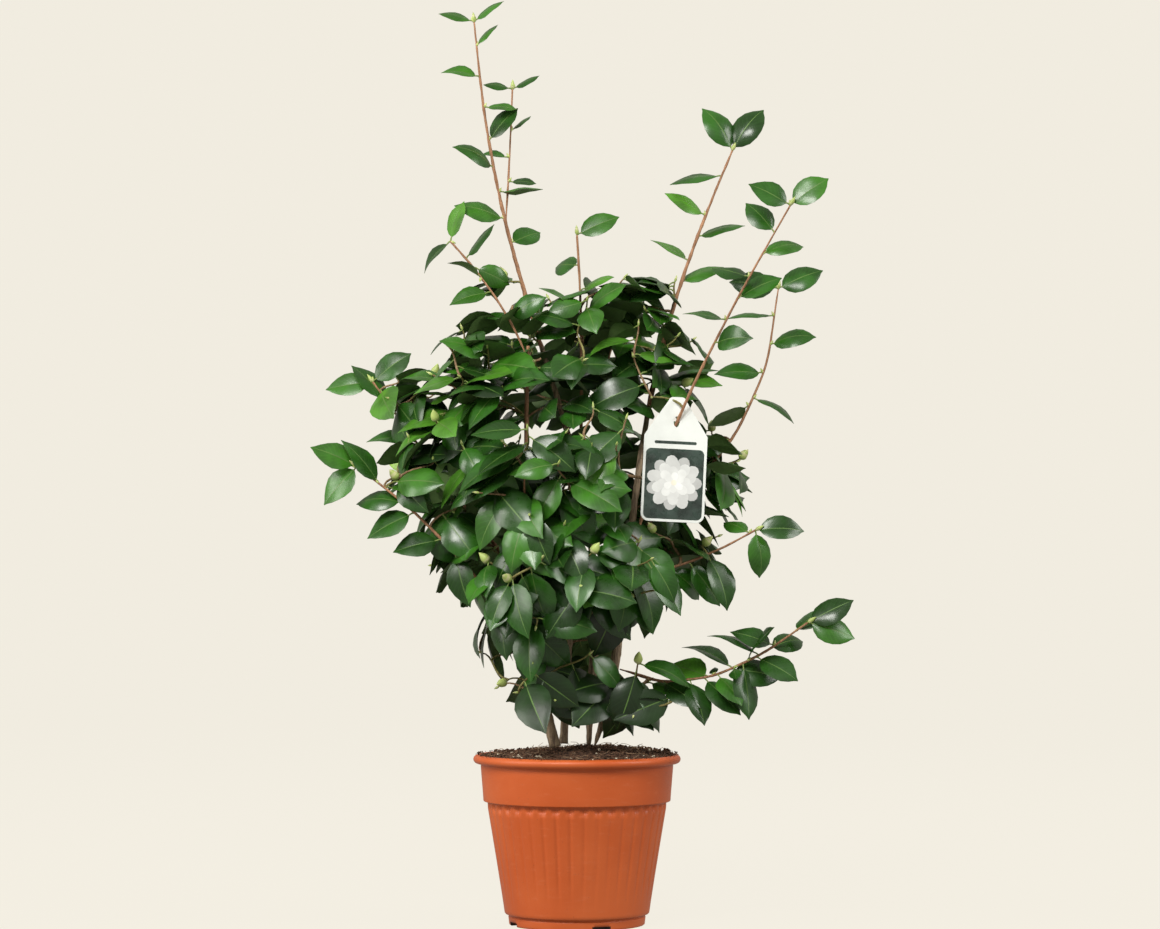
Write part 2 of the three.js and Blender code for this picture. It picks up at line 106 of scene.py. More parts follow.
def jitter(chance, reach):
    return Vector([chance.uniform(-reach, reach) for _ in range(3)])


def axes_matrix(x_axis, y_axis, z_axis):
    return Matrix((x_axis, y_axis, z_axis)).transposed().to_4x4()


def node_arrays(name):
    """A CAD node's corner places, edges and triangles, with the corners that coincide joined."""
    mesh = NODES[name].data
    mesh.calc_loop_triangles()
    loose = np.array([vertex.co[:] for vertex in mesh.vertices])
    _, first, joined = np.unique(loose.round(6), axis=0, return_index=True, return_inverse=True)
    joined = joined.ravel()
    triangles = np.array([triangle.vertices[:] for triangle in mesh.loop_triangles])
    triangles = joined[triangles]
    sides = np.concatenate([triangles[:, [0, 1]], triangles[:, [1, 2]], triangles[:, [2, 0]]])
    edges = np.unique(np.sort(sides, axis=1), axis=0)
    return loose[first], edges, triangles


def finish_piece(piece, replaced=()):
    """Every piece rides on the one body and may stand for CAD nodes, which it hides."""
    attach(piece, "root")
    if replaced:
        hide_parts(*replaced)
    return piece


def linked(name, data):
    thing = bpy.data.objects.new(name, data)
    bpy.context.collection.objects.link(thing)
    return thing


def mesh_piece(name, mesh, materials):
    for material in materials:
        mesh.materials.append(material)
    return linked(name, mesh)


def bmesh_piece(name, bm, materials, smooth=True):
    mesh = bpy.data.meshes.new(name)
    bmesh.ops.recalc_face_normals(bm, faces=bm.faces)
    bm.to_mesh(mesh)
    bm.free()
    for polygon in mesh.polygons:
        polygon.use_smooth = smooth
    return mesh_piece(name, mesh, materials)


def lathe(profile, steps):
    """Pairs of radius and height, spun round the Z axis."""
    bm = bmesh.new()
    verts = [bm.verts.new((radius, 0, height)) for radius, height in profile]
    edges = [bm.edges.new(pair) for pair in zip(verts, verts[1:])]
    bmesh.ops.spin(
        bm, geom=verts + edges, cent=(0, 0, 0), axis=UP, angle=2 * math.pi,
        steps=steps, use_merge=True, use_duplicate=False,
    )
    bmesh.ops.remove_doubles(bm, verts=bm.verts, dist=SAME_PLACE)
    return bm


def curve_mesh(curve):
    """The mesh that a curve gives."""
    sketch = linked("sketch", curve)
    graph = bpy.context.evaluated_depsgraph_get()
    mesh = bpy.data.meshes.new_from_object(sketch.evaluated_get(graph))
    bpy.data.objects.remove(sketch)
    return mesh


# ---- Materials ----

class Value:
    """A node socket on which Python's arithmetic builds Math nodes."""

    def __init__(self, tree, socket):
        self.tree = tree
        self.socket = socket

    def math(self, operation, *terms):
        node = self.tree.nodes.new("ShaderNodeMath")
        node.operation = operation
        for place, term in enumerate((self, *terms)):
            fill(self.tree, node.inputs[place], term)
        return Value(self.tree, node.outputs[0])

    def __add__(self, other):
        return self.math("ADD", other)

    def __sub__(self, other):
        return self.math("SUBTRACT", other)

    def __mul__(self, other):
        return self.math("MULTIPLY", other)

    def ramp(self, low, high, to_low=0.0, to_high=1.0):
        """This value carried smoothly from one range to another, and held at its ends."""
        node = self.tree.nodes.new("ShaderNodeMapRange")
        node.interpolation_type = "SMOOTHSTEP"
        for place, term in enumerate((self, low, high, to_low, to_high)):
            fill(self.tree, node.inputs[place], term)
        return Value(self.tree, node.outputs[0])


def fill(tree, socket, term):
    if isinstance(term, Value):
        tree.links.new(term.socket, socket)
    elif isinstance(term, tuple) and len(term) == 3 and socket.type == "RGBA":
        socket.default_value = (*term, 1)
    else:
        socket.default_value = term


class Paint:
    """A material with one Principled shader, and a few ways of adding nodes to it."""

    def __init__(self, name, **constants):
        self.material = bpy.data.materials.new(name)
        self.material.use_nodes = True
        self.tree = self.material.node_tree
        self.shader = self.tree.nodes["Principled BSDF"]
        for socket, value in constants.items():
            fill(self.tree, self.shader.inputs[socket.replace("_", " ")], value)
        self.place = self.node("ShaderNodeTexCoord", "Object")

    def node(self, kind, output, settings=None, **inputs):
        node = self.tree.nodes.new(kind)
        for setting, value in (settings or {}).items():
            setattr(node, setting, value)
        for socket, value in inputs.items():
            fill(self.tree, node.inputs[socket.replace("_", " ")], value)
        return Value(self.tree, node.outputs[output])

    def noise(self, scale, detail=2.0, roughness=0.5, place=None):
        return self.node(
            "ShaderNodeTexNoise", 0, Vector=place or self.place,
            Scale=scale, Detail=detail, Roughness=roughness,
        )

    def split(self, vector):
        node = self.tree.nodes.new("ShaderNodeSeparateXYZ")
        fill(self.tree, node.inputs[0], vector)
        return [Value(self.tree, socket) for socket in node.outputs]

    def stretched(self, x, y, z):
        """Object coordinates scaled apart along each axis."""
        return self.node("ShaderNodeMapping", 0, Vector=self.place, Scale=(x, y, z))

    def blend(self, share, first, second):
        node = self.tree.nodes.new("ShaderNodeMix")
        node.data_type = "RGBA"
        fill(self.tree, node.inputs[0], share)
        fill(self.tree, node.inputs[6], first)
        fill(self.tree, node.inputs[7], second)
        return Value(self.tree, node.outputs[2])

    def set(self, **inputs):
        for socket, value in inputs.items():
            fill(self.tree, self.shader.inputs[socket.replace("_", " ")], value)
        return self

    def bump(self, height, strength, distance):
        return self.set(Normal=self.node(
            "ShaderNodeBump", 0, Strength=strength, Distance=distance, Height=height,
        ))


def tinted(colour, factor):
    return tuple(min(1.0, factor * part) for part in colour)


LEAF_MAP = "leaf_map"
VEINS = 9  # side veins on each half of a leaf
VEIN_RAKE = 2.6  # how many vein gaps a vein runs ahead from the midrib to the edge
VEIN_HALF_WIDTH = 0.16  # as a share of the gap between two veins


def leaf_paint(name, colour, gloss=0.3):
    """Leathery upper side of a leaf: a gloss over faint blotches, side veins and a netted grain."""
    paint = Paint(name, IOR=1.45, Coat_Weight=0.28, Coat_Roughness=0.2)
    along, reach = paint.split(paint.node("ShaderNodeUVMap", "UV", {"uv_map": LEAF_MAP}))[:2]
    out = reach.math("ABSOLUTE")
    vein = (along * VEINS - out * VEIN_RAKE + 20).math("FRACT") - 0.5
    fading = out.ramp(0.75, 1.0, 1.0, 0.0)
    ridge = vein.math("ABSOLUTE").ramp(0.0, VEIN_HALF_WIDTH, 1.0, 0.0) * fading
    cloud = paint.noise(30, 2)
    veined = tuple(1.7 * part + 0.01 for part in colour)
    body = paint.blend(cloud.ramp(0.35, 0.68), tinted(colour, 0.7), tinted(colour, 1.3))
    paint.set(
        Base_Color=paint.blend(ridge * 0.2, body, veined),
        Roughness=paint.noise(90, 2).ramp(0.3, 0.7, gloss, gloss + 0.14),
    )
    grain = paint.noise(240, 3, 0.6)
    return paint.bump(grain * 0.25 - ridge * 0.25, 0.12, 0.0005).material


def plain_paint(name, colour, rough, grain=300, depth=0.0004, spread=0.14, **constants):
    """One colour with a slight unevenness and a fine grain."""
    paint = Paint(name, **constants)
    cloud = paint.noise(grain / 6, 3)
    paint.set(
        Base_Color=paint.blend(
            cloud.ramp(0.3, 0.7), tinted(colour, 1 - spread), tinted(colour, 1 + spread),
        ),
        Roughness=paint.noise(grain / 2, 2).ramp(0.3, 0.7, rough - 0.07, rough + 0.07),
    )
    return paint.bump(paint.noise(grain, 3), 0.3, depth).material


def bark_paint(name, light, dark, pitting=0.0):
    """Bark with long streaks, pale flecks and dark pores."""
    paint = Paint(name, IOR=1.4)
    streaks = paint.noise(1, 4, 0.62, paint.stretched(420, 420, 45))
    patches = paint.noise(46, 3)
    pores = paint.noise(520, 2)
    base = paint.blend(streaks.ramp(0.36, 0.66), dark, light)
    aged = paint.blend(patches.ramp(0.52, 0.72, 0, 0.55), base, tinted(light, 1.25))
    spotted = paint.blend(pores.ramp(0.62, 0.7, 0, 0.5 + pitting), aged, tinted(dark, 0.5))
    paint.set(Base_Color=spotted, Roughness=streaks.ramp(0.3, 0.7, 0.85, 0.6))
    return paint.bump(streaks + patches * 0.4, 0.5, 0.0012).material


def pot_paint():
    """Satin terracotta-coloured plastic with rubbed patches, faint scratches and dusty marks."""
    paint = Paint("pot plastic", IOR=1.48, Specular_IOR_Level=0.42)
    broad = paint.noise(9, 3)
    rubs = paint.noise(1, 3, 0.6, paint.stretched(60, 60, 240))
    specks = paint.noise(420, 2)
    base = paint.blend(broad.ramp(0.35, 0.68), (0.53, 0.095, 0.019), (0.6, 0.122, 0.029))
    rubbed = paint.blend(rubs.ramp(0.55, 0.75, 0, 0.35), base, (0.6, 0.15, 0.055))
    marked = paint.blend(specks.ramp(0.7, 0.76, 0, 0.4), rubbed, (0.2, 0.055, 0.025))
    wear = rubs * 0.16 + broad * 0.14
    paint.set(Base_Color=marked, Roughness=wear.ramp(0.08, 0.24, 0.34, 0.52))
    return paint.bump(rubs * 0.5 + specks * 0.3, 0.12, 0.0006).material


def soil_paint(name, dark, light):
    """Damp peat: near black, with brown crumbs and pale flecks."""
    paint = Paint(name, IOR=1.35)
    crumbs = paint.noise(210, 4, 0.7)
    fine = paint.noise(760, 2, 0.6)
    base = paint.blend(crumbs.ramp(0.4, 0.68), dark, light)
    flecked = paint.blend(fine.ramp(0.66, 0.74, 0, 0.75), base, tinted(light, 3.2))
    paint.set(Base_Color=flecked, Roughness=crumbs.ramp(0.3, 0.7, 0.72, 1.0))
    return paint.bump(crumbs + fine * 0.5, 0.9, 0.003).material


LEAF_GREENS = [
    leaf_paint("leaf deep green", (0.014, 0.058, 0.006), 0.25),
    leaf_paint("leaf dark green", (0.02, 0.09, 0.007), 0.27),
    leaf_paint("leaf mid green", (0.033, 0.134, 0.009), 0.29),
    leaf_paint("leaf fresh green", (0.06, 0.195, 0.014), 0.32),
    # painted backlight: the bright yellow green of a leaf lit through from behind
    leaf_paint("leaf painted backlight green", (0.19, 0.34, 0.035), 0.38),
    # painted shade: a very dark green for the leaves deep in the crown
    leaf_paint("leaf painted shade green", (0.008, 0.03, 0.004), 0.34),
]
BACKLIT_TONE, PAINTED_SHADE_TONE = 4, 5  # their places among the greens: the painted backlight and the painted shade
LEAF_RIB = plain_paint("leaf midrib", (0.085, 0.17, 0.035), 0.42)
LEAF_BACK = plain_paint("leaf underside", (0.11, 0.2, 0.055), 0.6)
# painted backlight: the bright underside of that one leaf
LEAF_BACK_BACKLIT = plain_paint("leaf underside painted backlight", (0.27, 0.43, 0.06), 0.6)
STALK_PAINT = plain_paint("leaf stalk", (0.2, 0.28, 0.07), 0.5)
BUD_PAINT = plain_paint("bud scales", (0.42, 0.52, 0.15), 0.42, depth=0.0003)
BUD_TIP_PAINT = plain_paint("bud scale edges", (0.55, 0.56, 0.27), 0.5)
BARK_PAINT = bark_paint("old bark", (0.42, 0.31, 0.2), (0.17, 0.12, 0.08), 0.2)
SHOOT_PAINT = bark_paint("young shoot bark", (0.42, 0.22, 0.12), (0.26, 0.13, 0.07))
TWIG_PAINT = bark_paint("twig bark", (0.33, 0.22, 0.12), (0.17, 0.1, 0.05))
GREEN_TWIG_PAINT = bark_paint("green twig", (0.25, 0.24, 0.08), (0.14, 0.11, 0.04))
POT_PAINT = pot_paint()
# painted shade: near black for the inside of the four foot notches, where shade falls
NOTCH_SHADE_PAINT = plain_paint("pot_shade", (0.03, 0.01, 0.006), 0.9)
SOIL_PAINT = soil_paint("potting_mix", (0.04, 0.02, 0.012), (0.17, 0.088, 0.052))
CRUMB_PAINT = soil_paint("peat_crumbs", (0.048, 0.024, 0.014), (0.19, 0.1, 0.058))
FIBRE_PAINT = plain_paint("peat_fibres", (0.3, 0.19, 0.11), 0.8)
CHIP_PAINT = plain_paint("pale flecks", (0.55, 0.48, 0.36), 0.8)
CARD_PAINT = plain_paint("label_card", (0.78, 0.81, 0.78), 0.36, spread=0.03, Coat_Weight=0.2)
PRINT_PAINT = plain_paint("label print", (0.024, 0.044, 0.034), 0.3, spread=0.5, Coat_Weight=0.3)
PETAL_PAINTS = [
    plain_paint(f"printed petals {ring + 1}", (shade, 1.02 * shade, shade), 0.35, spread=0.08)
    for ring, shade in enumerate((0.5, 0.64, 0.72, 0.8, 0.88))
]
FLOWER_HEART_PAINT = plain_paint("printed flower heart", (0.88, 0.84, 0.7), 0.35)


# ---- Limbs: a smooth centre line with a radius, read from each CAD limb ----

class Path:
    """A line of places with a radius at each, measured by shares of its length."""

    def __init__(self, places, radii):
        self.places = [Vector(place) for place in places]
        self.radii = list(radii)
        steps = [(b - a).length for a, b in zip(self.places, self.places[1:])]
        self.length = sum(steps)
        self.shares = [0.0]
        for step in steps:
            self.shares.append(self.shares[-1] + step / self.length)

    def _between(self, share):
        share = clamp(share)
        for index in range(len(self.places) - 1):
            if share <= self.shares[index + 1] or index == len(self.places) - 2:
                gap = self.shares[index + 1] - self.shares[index]
                return index, clamp((share - self.shares[index]) / max(gap, 1e-9))

    def at(self, share):
        index, rest = self._between(share)
        return self.places[index].lerp(self.places[index + 1], rest)

    def radius(self, share):
        index, rest = self._between(share)
        return self.radii[index] * (1 - rest) + self.radii[index + 1] * rest

    def ahead(self, share):
        """The way the line runs at a share of its length."""
        return (self.at(min(share + 0.02, 1)) - self.at(max(share - 0.02, 0))).normalized()

    def samples(self, count):
        return [self.at(step / count) for step in range(count + 1)]


STATIONS = 26
END_MARGIN = 0.8 * MM
SMOOTHINGS = 3


def limb_path(name):
    """Slices a CAD limb square to its chord, and joins the middles of the cuts."""
    places, edges, _ = node_arrays(name)
    centre = places.mean(axis=0)
    chord = np.linalg.svd(places - centre, full_matrices=False)[2][0]
    along = (places - centre) @ chord
    low, high = along.min(), along.max()
    start, end = along[edges[:, 0]], along[edges[:, 1]]
    middles, radii = [], []
    for station in np.linspace(low + END_MARGIN, high - END_MARGIN, STATIONS):
        crossed = (start - station) * (end - station) < 0
        share = (station - start[crossed]) / (end[crossed] - start[crossed])
        first, second = places[edges[crossed, 0]], places[edges[crossed, 1]]
        cuts = first + (second - first) * share[:, None]
        middle = cuts.mean(axis=0)
        middles.append(middle)
        radii.append(np.linalg.norm(cuts - middle, axis=1).min())
    thin_first = np.mean(radii[:5]) < np.mean(radii[-5:])
    high_first = middles[0][2] > middles[-1][2]
    if high_first if name.startswith("stem_") else thin_first:
        middles, radii = middles[::-1], radii[::-1]
    middles, radii = np.array(middles), np.array(radii)
    for _ in range(SMOOTHINGS):
        middles[1:-1] = (middles[:-2] + 2 * middles[1:-1] + middles[2:]) / 4
        radii[1:-1] = (radii[:-2] + 2 * radii[1:-1] + radii[2:]) / 4
    return Path(middles, radii)


LIMBS = {name: limb_path(name) for name in LIMB_NAMES}
YOUNG_WOOD_SHARE = 0.55  # of a stem's height, above which its bark is that of a young shoot
SCAR_SPACING, SCAR_WIDTH, SCAR_SWELLING = 0.04, 0.003, 0.14
RING_SPACING = 0.0034
STEM_SIDES, BOUGH_SIDES = 18, 10
STEM_RELIEF, BOUGH_RELIEF = 0.0011, 0.0005


def swept(bm, path, sides, rings, radius_at):
    """A closed tube: one ring is pushed out step by step along a path, and its end is capped."""
    fixed = FRONT if abs(path.ahead(0.5).y) < 0.7 else Vector((1, 0, 0))
    circle = bmesh.ops.create_circle(bm, segments=sides, radius=1, cap_ends=True)["verts"]
    turns = {vert: 2 * math.pi * index / sides for index, vert in enumerate(circle)}
    for ring in range(rings + 1):
        share = ring / rings
        if ring:
            edges = {edge for vert in turns for edge in vert.link_edges
                     if all(end in turns for end in edge.verts)}
            pushed = bmesh.ops.extrude_edge_only(bm, edges=list(edges))["geom"]
            carried = {}
            for vert in pushed:
                if isinstance(vert, bmesh.types.BMVert):
                    below = [edge.other_vert(vert) for edge in vert.link_edges]
                    carried[vert] = next(turns[end] for end in below if end in turns)
            turns = carried
        ahead = path.ahead(share)
        side = across(ahead, fixed)
        other = ahead.cross(side)
        middle = path.at(share)
        for vert, turn in turns.items():
            outward = side * math.cos(turn) + other * math.sin(turn)
            vert.co = middle + outward * radius_at(share, middle + outward * path.radius(share))
    bmesh.ops.contextual_create(bm, geom=list(turns))


def limb_piece(name):
    """Bark round a limb's line, as one piece that stands for the CAD limb."""
    path = LIMBS[name]
    is_stem = name.startswith("stem_")
    depth = STEM_RELIEF if is_stem else BOUGH_RELIEF
    seed = 7.3 * LIMB_NAMES.index(name)
    chance = random.Random(name)
    scars = [chance.uniform(0.06, 0.97) for _ in range(int(path.length / SCAR_SPACING))]

    def radius_at(share, place):
        """The limb's own radius with long ridges, small lumps and swollen leaf scars."""
        ridges = noise.noise(Vector((place.x * 800, place.y * 800, place.z * 50 + seed)))
        lumps = noise.noise(Vector((place.x * 150, place.y * 150, place.z * 80 + 2 * seed)))
        gaps = [(share - scar) * path.length / SCAR_WIDTH for scar in scars]
        swelling = sum(math.exp(-(gap ** 2)) for gap in gaps)
        thinning = 1 - 0.55 * smooth_step(0.3, 1.0, share)
        relief = depth * thinning * (0.6 * ridges + 0.8 * lumps)
        return path.radius(share) * (1 + SCAR_SWELLING * swelling) + relief

    bm = bmesh.new()
    sides = STEM_SIDES if is_stem else BOUGH_SIDES
    swept(bm, path, sides, int(path.length / RING_SPACING), radius_at)
    paint = BARK_PAINT if is_stem else SHOOT_PAINT
    piece = bmesh_piece(name + "_bark", bm, [paint, SHOOT_PAINT])
    if is_stem:
        low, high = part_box(name)
        young_from = low[2] + YOUNG_WOOD_SHARE * (high[2] - low[2])
        for polygon in piece.data.polygons:
            uneven = 0.5 + 0.03 * noise.noise(polygon.center * 60)
            polygon.material_index = int(polygon.center.z > young_from + uneven * MM)
    return finish_piece(piece, [name])


# ---- Leaf and bud shapes, each made once and then copied many times ----

class Shape:
    """A small mesh as plain arrays, with a part number for each face and a map of its surface."""

    def __init__(self, bm, part_of, marks=None):
        for index, vert in enumerate(bm.verts):
            vert.index = index
        self.places = np.array([vert.co[:] for vert in bm.verts])
        self.marks = np.array([marks[vert] if marks else (0, 0) for vert in bm.verts])
        self.faces = [[vert.index for vert in face.verts] for face in bm.faces]
        self.parts = [part_of(face) for face in bm.faces]
        bm.free()


UPPER, RIB, LOWER = 0, 1, 2
LEAF_THICKNESS = 0.005  # as a share of the leaf's length
LEAF_OUTLINE = [  # share of the length from the stalk, share of the greatest half width
    (0, 0.03), (0.07, 0.44), (0.19, 0.8), (0.36, 0.99), (0.53, 0.97), (0.7, 0.77), (0.84, 0.46),
    (0.93, 0.17), (1, 0.02),
]
LEAF_REACHES = (-1, -0.55, -0.035, 0.035, 0.55, 1)


def leaf_shape(width, fold, curl, droop, wave, twist):
    """A leaf one unit long, lying along +X with its upper side towards +Z."""
    rows, columns = len(LEAF_OUTLINE) - 1, len(LEAF_REACHES) - 1
    bm = bmesh.new()
    bmesh.ops.create_grid(bm, x_segments=rows, y_segments=columns, size=0.5)
    marks = {}
    for vert in bm.verts:
        share, girth = LEAF_OUTLINE[round((vert.co.x + 0.5) * rows)]
        reach = LEAF_REACHES[round((vert.co.y + 0.5) * columns)]
        half = 0.5 * width * girth
        out = abs(reach)
        side = math.copysign(1, reach)
        y = reach * half
        z = (fold * out - curl * out ** 2.5) * half
        z += wave * half * out * math.sin(8 * share + 2 * side)
        z += 0.5 * droop * share - droop * share * share
        x = share - 0.3 * droop * droop * share ** 3
        roll = twist * share
        vert.co = (x, y * math.cos(roll), z + y * math.sin(roll))
        marks[vert] = (share, reach)
    uppers = list(bm.faces)
    bmesh.ops.recalc_face_normals(bm, faces=uppers)
    if sum(face.normal.z for face in uppers) < 0:
        bmesh.ops.reverse_faces(bm, faces=uppers)
    ribs = {face for face in uppers if max(abs(marks[vert][1]) for vert in face.verts) < 0.1}
    copied = bmesh.ops.duplicate(bm, geom=uppers + list(bm.edges) + list(bm.verts))
    lowers = [item for item in copied["geom"] if isinstance(item, bmesh.types.BMFace)]
    for first, second in copied["vert_map"].items():
        if second not in marks:
            marks[second] = marks[first]
            second.co.z -= LEAF_THICKNESS
    bmesh.ops.reverse_faces(bm, faces=lowers)
    lowers = set(lowers)

    def part_of(face):
        return LOWER if face in lowers else RIB if face in ribs else UPPER

    return Shape(bm, part_of, marks)


LEAF_SHAPES = [
    leaf_shape(width=0.60, fold=0.34, curl=0.3, droop=0.22, wave=0.04, twist=0.10),
    leaf_shape(width=0.66, fold=0.24, curl=0.42, droop=0.30, wave=0.06, twist=-0.16),
    leaf_shape(width=0.57, fold=0.46, curl=0.3, droop=0.40, wave=0.05, twist=0.22),
    leaf_shape(width=0.63, fold=0.16, curl=0.36, droop=0.16, wave=0.08, twist=-0.08),
    leaf_shape(width=0.59, fold=0.30, curl=0.5, droop=0.5, wave=0.05, twist=0.05),
    leaf_shape(width=0.67, fold=0.28, curl=0.26, droop=0.24, wave=0.07, twist=0.18),
]


BUD_GIRTH = 0.36
BUD_EDGE_FROM = 0.72  # the share of a scale's height where its paler edge starts


def bud_shape(scales):
    """A pointed bud one unit long, with overlapping scales whose edges stand out."""
    bm = bmesh.new()
    bmesh.ops.create_uvsphere(bm, u_segments=10, v_segments=8, radius=0.5)
    for vert in bm.verts:
        share = vert.co.z + 0.5
        turn = math.atan2(vert.co.y, vert.co.x)
        girth = math.sin(math.pi * share ** 0.75) ** 0.8 * (1 - 0.35 * share)
        step = (share * scales + turn / (2 * math.pi) * 2) % 1
        girth *= 1 + 0.13 * (1 - step)
        flat = max(1e-6, math.hypot(vert.co.x, vert.co.y))
        vert.co.x *= BUD_GIRTH * girth / flat
        vert.co.y *= BUD_GIRTH * girth / flat
        vert.co.z = share
    bmesh.ops.recalc_face_normals(bm, faces=bm.faces)
    return Shape(bm, lambda face: int(face.calc_center_median().z * scales % 1 > BUD_EDGE_FROM))


BUD_SHAPES = [bud_shape(3), bud_shape(4)]


def scattered(name, placements, materials, replaced=()):
    """Copies of small shapes as one mesh. A placement is a shape, its matrix and its paints."""
    places, marks, sizes, loops, paints = [], [], [], [], []
    start = 0
    for shape, matrix, part_paints in placements:
        grid = np.array(matrix)
        places.append(shape.places @ grid[:3, :3].T + grid[:3, 3])
        for face, part in zip(shape.faces, shape.parts):
            loops.extend(start + corner for corner in face)
            sizes.append(len(face))
            paints.append(part_paints[part])
        marks.append(shape.marks)
        start += len(shape.places)
    mesh = bpy.data.meshes.new(name)
    mesh.vertices.add(start)
    mesh.vertices.foreach_set("co", np.concatenate(places).ravel())
    mesh.loops.add(len(loops))
    mesh.loops.foreach_set("vertex_index", loops)
    mesh.polygons.add(len(sizes))
    starts = np.concatenate([[0], np.cumsum(sizes)[:-1]])
    mesh.polygons.foreach_set("loop_start", starts)
    mesh.polygons.foreach_set("material_index", paints)
    mesh.polygons.foreach_set("use_smooth", [True] * len(sizes))
    mesh.update(calc_edges=True)
    if materials[0] in LEAF_GREENS:
        surface = mesh.uv_layers.new(name=LEAF_MAP)
        surface.data.foreach_set("uv", np.concatenate(marks)[loops].ravel())
    mesh.validate()
    return finish_piece(mesh_piece(name, mesh, materials), replaced)


def rods(name, paths, materials, roundness=1):
    """Many thin rods as one mesh, through a curve with a radius at each point."""
    curve = bpy.data.curves.new(name, "CURVE")
    curve.dimensions = "3D"
    curve.bevel_depth = 1
    curve.bevel_resolution = roundness
    curve.use_fill_caps = True
    for material in materials:
        curve.materials.append(material)
    for path, paint in paths:
        spline = curve.splines.new("POLY")
        spline.points.add(len(path.places) - 1)
        spline.material_index = paint
        for point, place, radius in zip(spline.points, path.places, path.radii):
            point.co = (*place, 1)
            point.radius = radius
    mesh = curve_mesh(curve)
    mesh.name = name
    for polygon in mesh.polygons:
        polygon.use_smooth = True
    return finish_piece(linked(name, mesh))


# ---- Growth: where leaves may be ----

SOIL_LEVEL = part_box("soil")[1][2]
SOIL_ROOM = 0.006
LABEL_LOW, LABEL_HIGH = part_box("hang_label")
CARD_ROOM = 0.006
SPREAD = 0.008  # how far past the CAD's own box a leaf may reach
LOW_CORNER, HIGH_CORNER = LOADED_BOUNDS
CROWN_FOOT, CROWN_TOP = SOIL_LEVEL, 0.78
# the core of the crown, where leaves take the painted shade
SHADE_CORE_TOP, SHADE_CORE_RADIUS = CROWN_TOP - 0.12, 0.042
PAINTED_SHADE_DEPTH = 0.034  # how far inside the masses a leaf takes the painted shade
STALK_RADII = [0.0011, 0.0009, 0.0008]
FLOWER_BUD, TWIG_BUD, AXIL_BUD, SHOOT_BUD = (0.016, 1.0), (0.009, 0.5), (0.007, 0.7), (0.012, 0.6)


def crown_height(z):
    """A height as a share of the crown's own, from its foot to its top."""
    return (z - CROWN_FOOT) / (CROWN_TOP - CROWN_FOOT)


def outward_at(place):
    flat = Vector((place.x - 0.01, place.y, 0))
    return flat.normalized() if flat.length > 0.004 else FRONT.copy()


def before_card(place):
    inside_x = LABEL_LOW[0] - CARD_ROOM < place.x < LABEL_HIGH[0] + CARD_ROOM
    inside_z = LABEL_LOW[2] - CARD_ROOM < place.z < LABEL_HIGH[2] + CARD_ROOM
    return inside_x and inside_z and place.y < LABEL_HIGH[1] + CARD_ROOM


MASS_TREES = []
for mass_name in MASS_NAMES:
    mass_places, _, mass_triangles = node_arrays(mass_name)
    MASS_TREES.append(BVHTree.FromPolygons(mass_places.tolist(), mass_triangles.tolist()))


def outside_masses(place):
    """How far a place stands out of the nearest mass; below nothing when it is inside one."""
    gaps = []
    for tree in MASS_TREES:
        near, normal, _, gap = tree.find_nearest(place)
        gaps.append(math.copysign(gap, (place - near).dot(normal)))
    return min(gaps)


def room_for(place):
    """Whether a place is inside the plant's box, above the soil and not before the label."""
    boxed = all(LOW_CORNER[i] - SPREAD < place[i] < HIGH_CORNER[i] + SPREAD for i in range(3))
    return boxed and place.z > SOIL_LEVEL + SOIL_ROOM and not before_card(place)


def takes_painted_shade(place):
    """Whether a leaf there takes the painted shade: deep in a mass, or near the middle of the
    crown.
    """
    inner = place.z < SHADE_CORE_TOP and math.hypot(place.x + 0.005, place.y) < SHADE_CORE_RADIUS
    return inner or outside_masses(place) < -PAINTED_SHADE_DEPTH


class Plant:
    """Everything small that grows on the limbs."""

    def __init__(self):
        self.twigs = []
        self.stalks = []
        self.leaves = []
        self.buds = []

    def leaf(self, foot, direction, facing, length, tone, chance, stalk=0.007, proud=0.0):
        """One leaf on its stalk, if there is room for it within the crown's outline."""
        base = foot + direction * stalk
        upper = across(direction, facing)
        side = upper.cross(direction)
        near, wide, tip = (base + direction * length * part for part in (0.3, 0.65, 1.0))
        edges = [base + direction * length * 0.5 + side * length * 0.25 * sign for sign in (-1, 1)]
        if not all(room_for(place) for place in (near, wide, tip, *edges)):
            return False
        if proud and (outside_masses(tip) > proud or outside_masses(wide) > 0.5 * proud):
            return False
        shape = chance.choice(LEAF_SHAPES)
        turn = axes_matrix(direction, side, upper)
        matrix = Matrix.Translation(base) @ turn @ Matrix.Scale(length, 4)
        # a leaf deep in the crown takes the painted shade green in place of its own
        if proud and takes_painted_shade(wide):
            tone = PAINTED_SHADE_TONE
        # the leaf with the painted backlight has the painted backlit underside
        back = LEAF_BACK_INDEX + (tone == BACKLIT_TONE)
        self.leaves.append((shape, matrix, (tone, LEAF_RIB_INDEX, back)))
        bow = foot.lerp(base, 0.5) + UP * 0.0008
        end = base + direction * length * 0.03
        self.stalks.append((Path([foot, bow, end], STALK_RADII), 0))
        return True

    def bud(self, foot, direction, kind, chance):
        length, plump = kind
        side = across(direction, Vector((chance.uniform(-1, 1), chance.uniform(-1, 1), 0.3)))
        turn = axes_matrix(side, direction.cross(side), direction)
        size = Matrix.Diagonal((length * plump, length * plump, length, 1))
        shape = chance.choice(BUD_SHAPES)
        self.buds.append((shape, Matrix.Translation(foot) @ turn @ size, (0, 1)))


LEAF_RIB_INDEX = len(LEAF_GREENS)
LEAF_BACK_INDEX = LEAF_RIB_INDEX + 1
PLANT = Plant()


# ---- Growth: leaves and twigs in the masses ----

BEND_STEPS, PULL_START, PULL_END = 8, 0.38, 0.34
TONE_LIMITS = (0.42, 0.74, 0.97)  # where the deep, the dark and the mid greens end
LOW_SLOPE, SLOPE_RISE, SLOPE_PLAY = -38, 42, 34  # degrees
LEAF_TURN, TURN_PLAY = 138, 18  # degrees from each leaf to the next round its twig


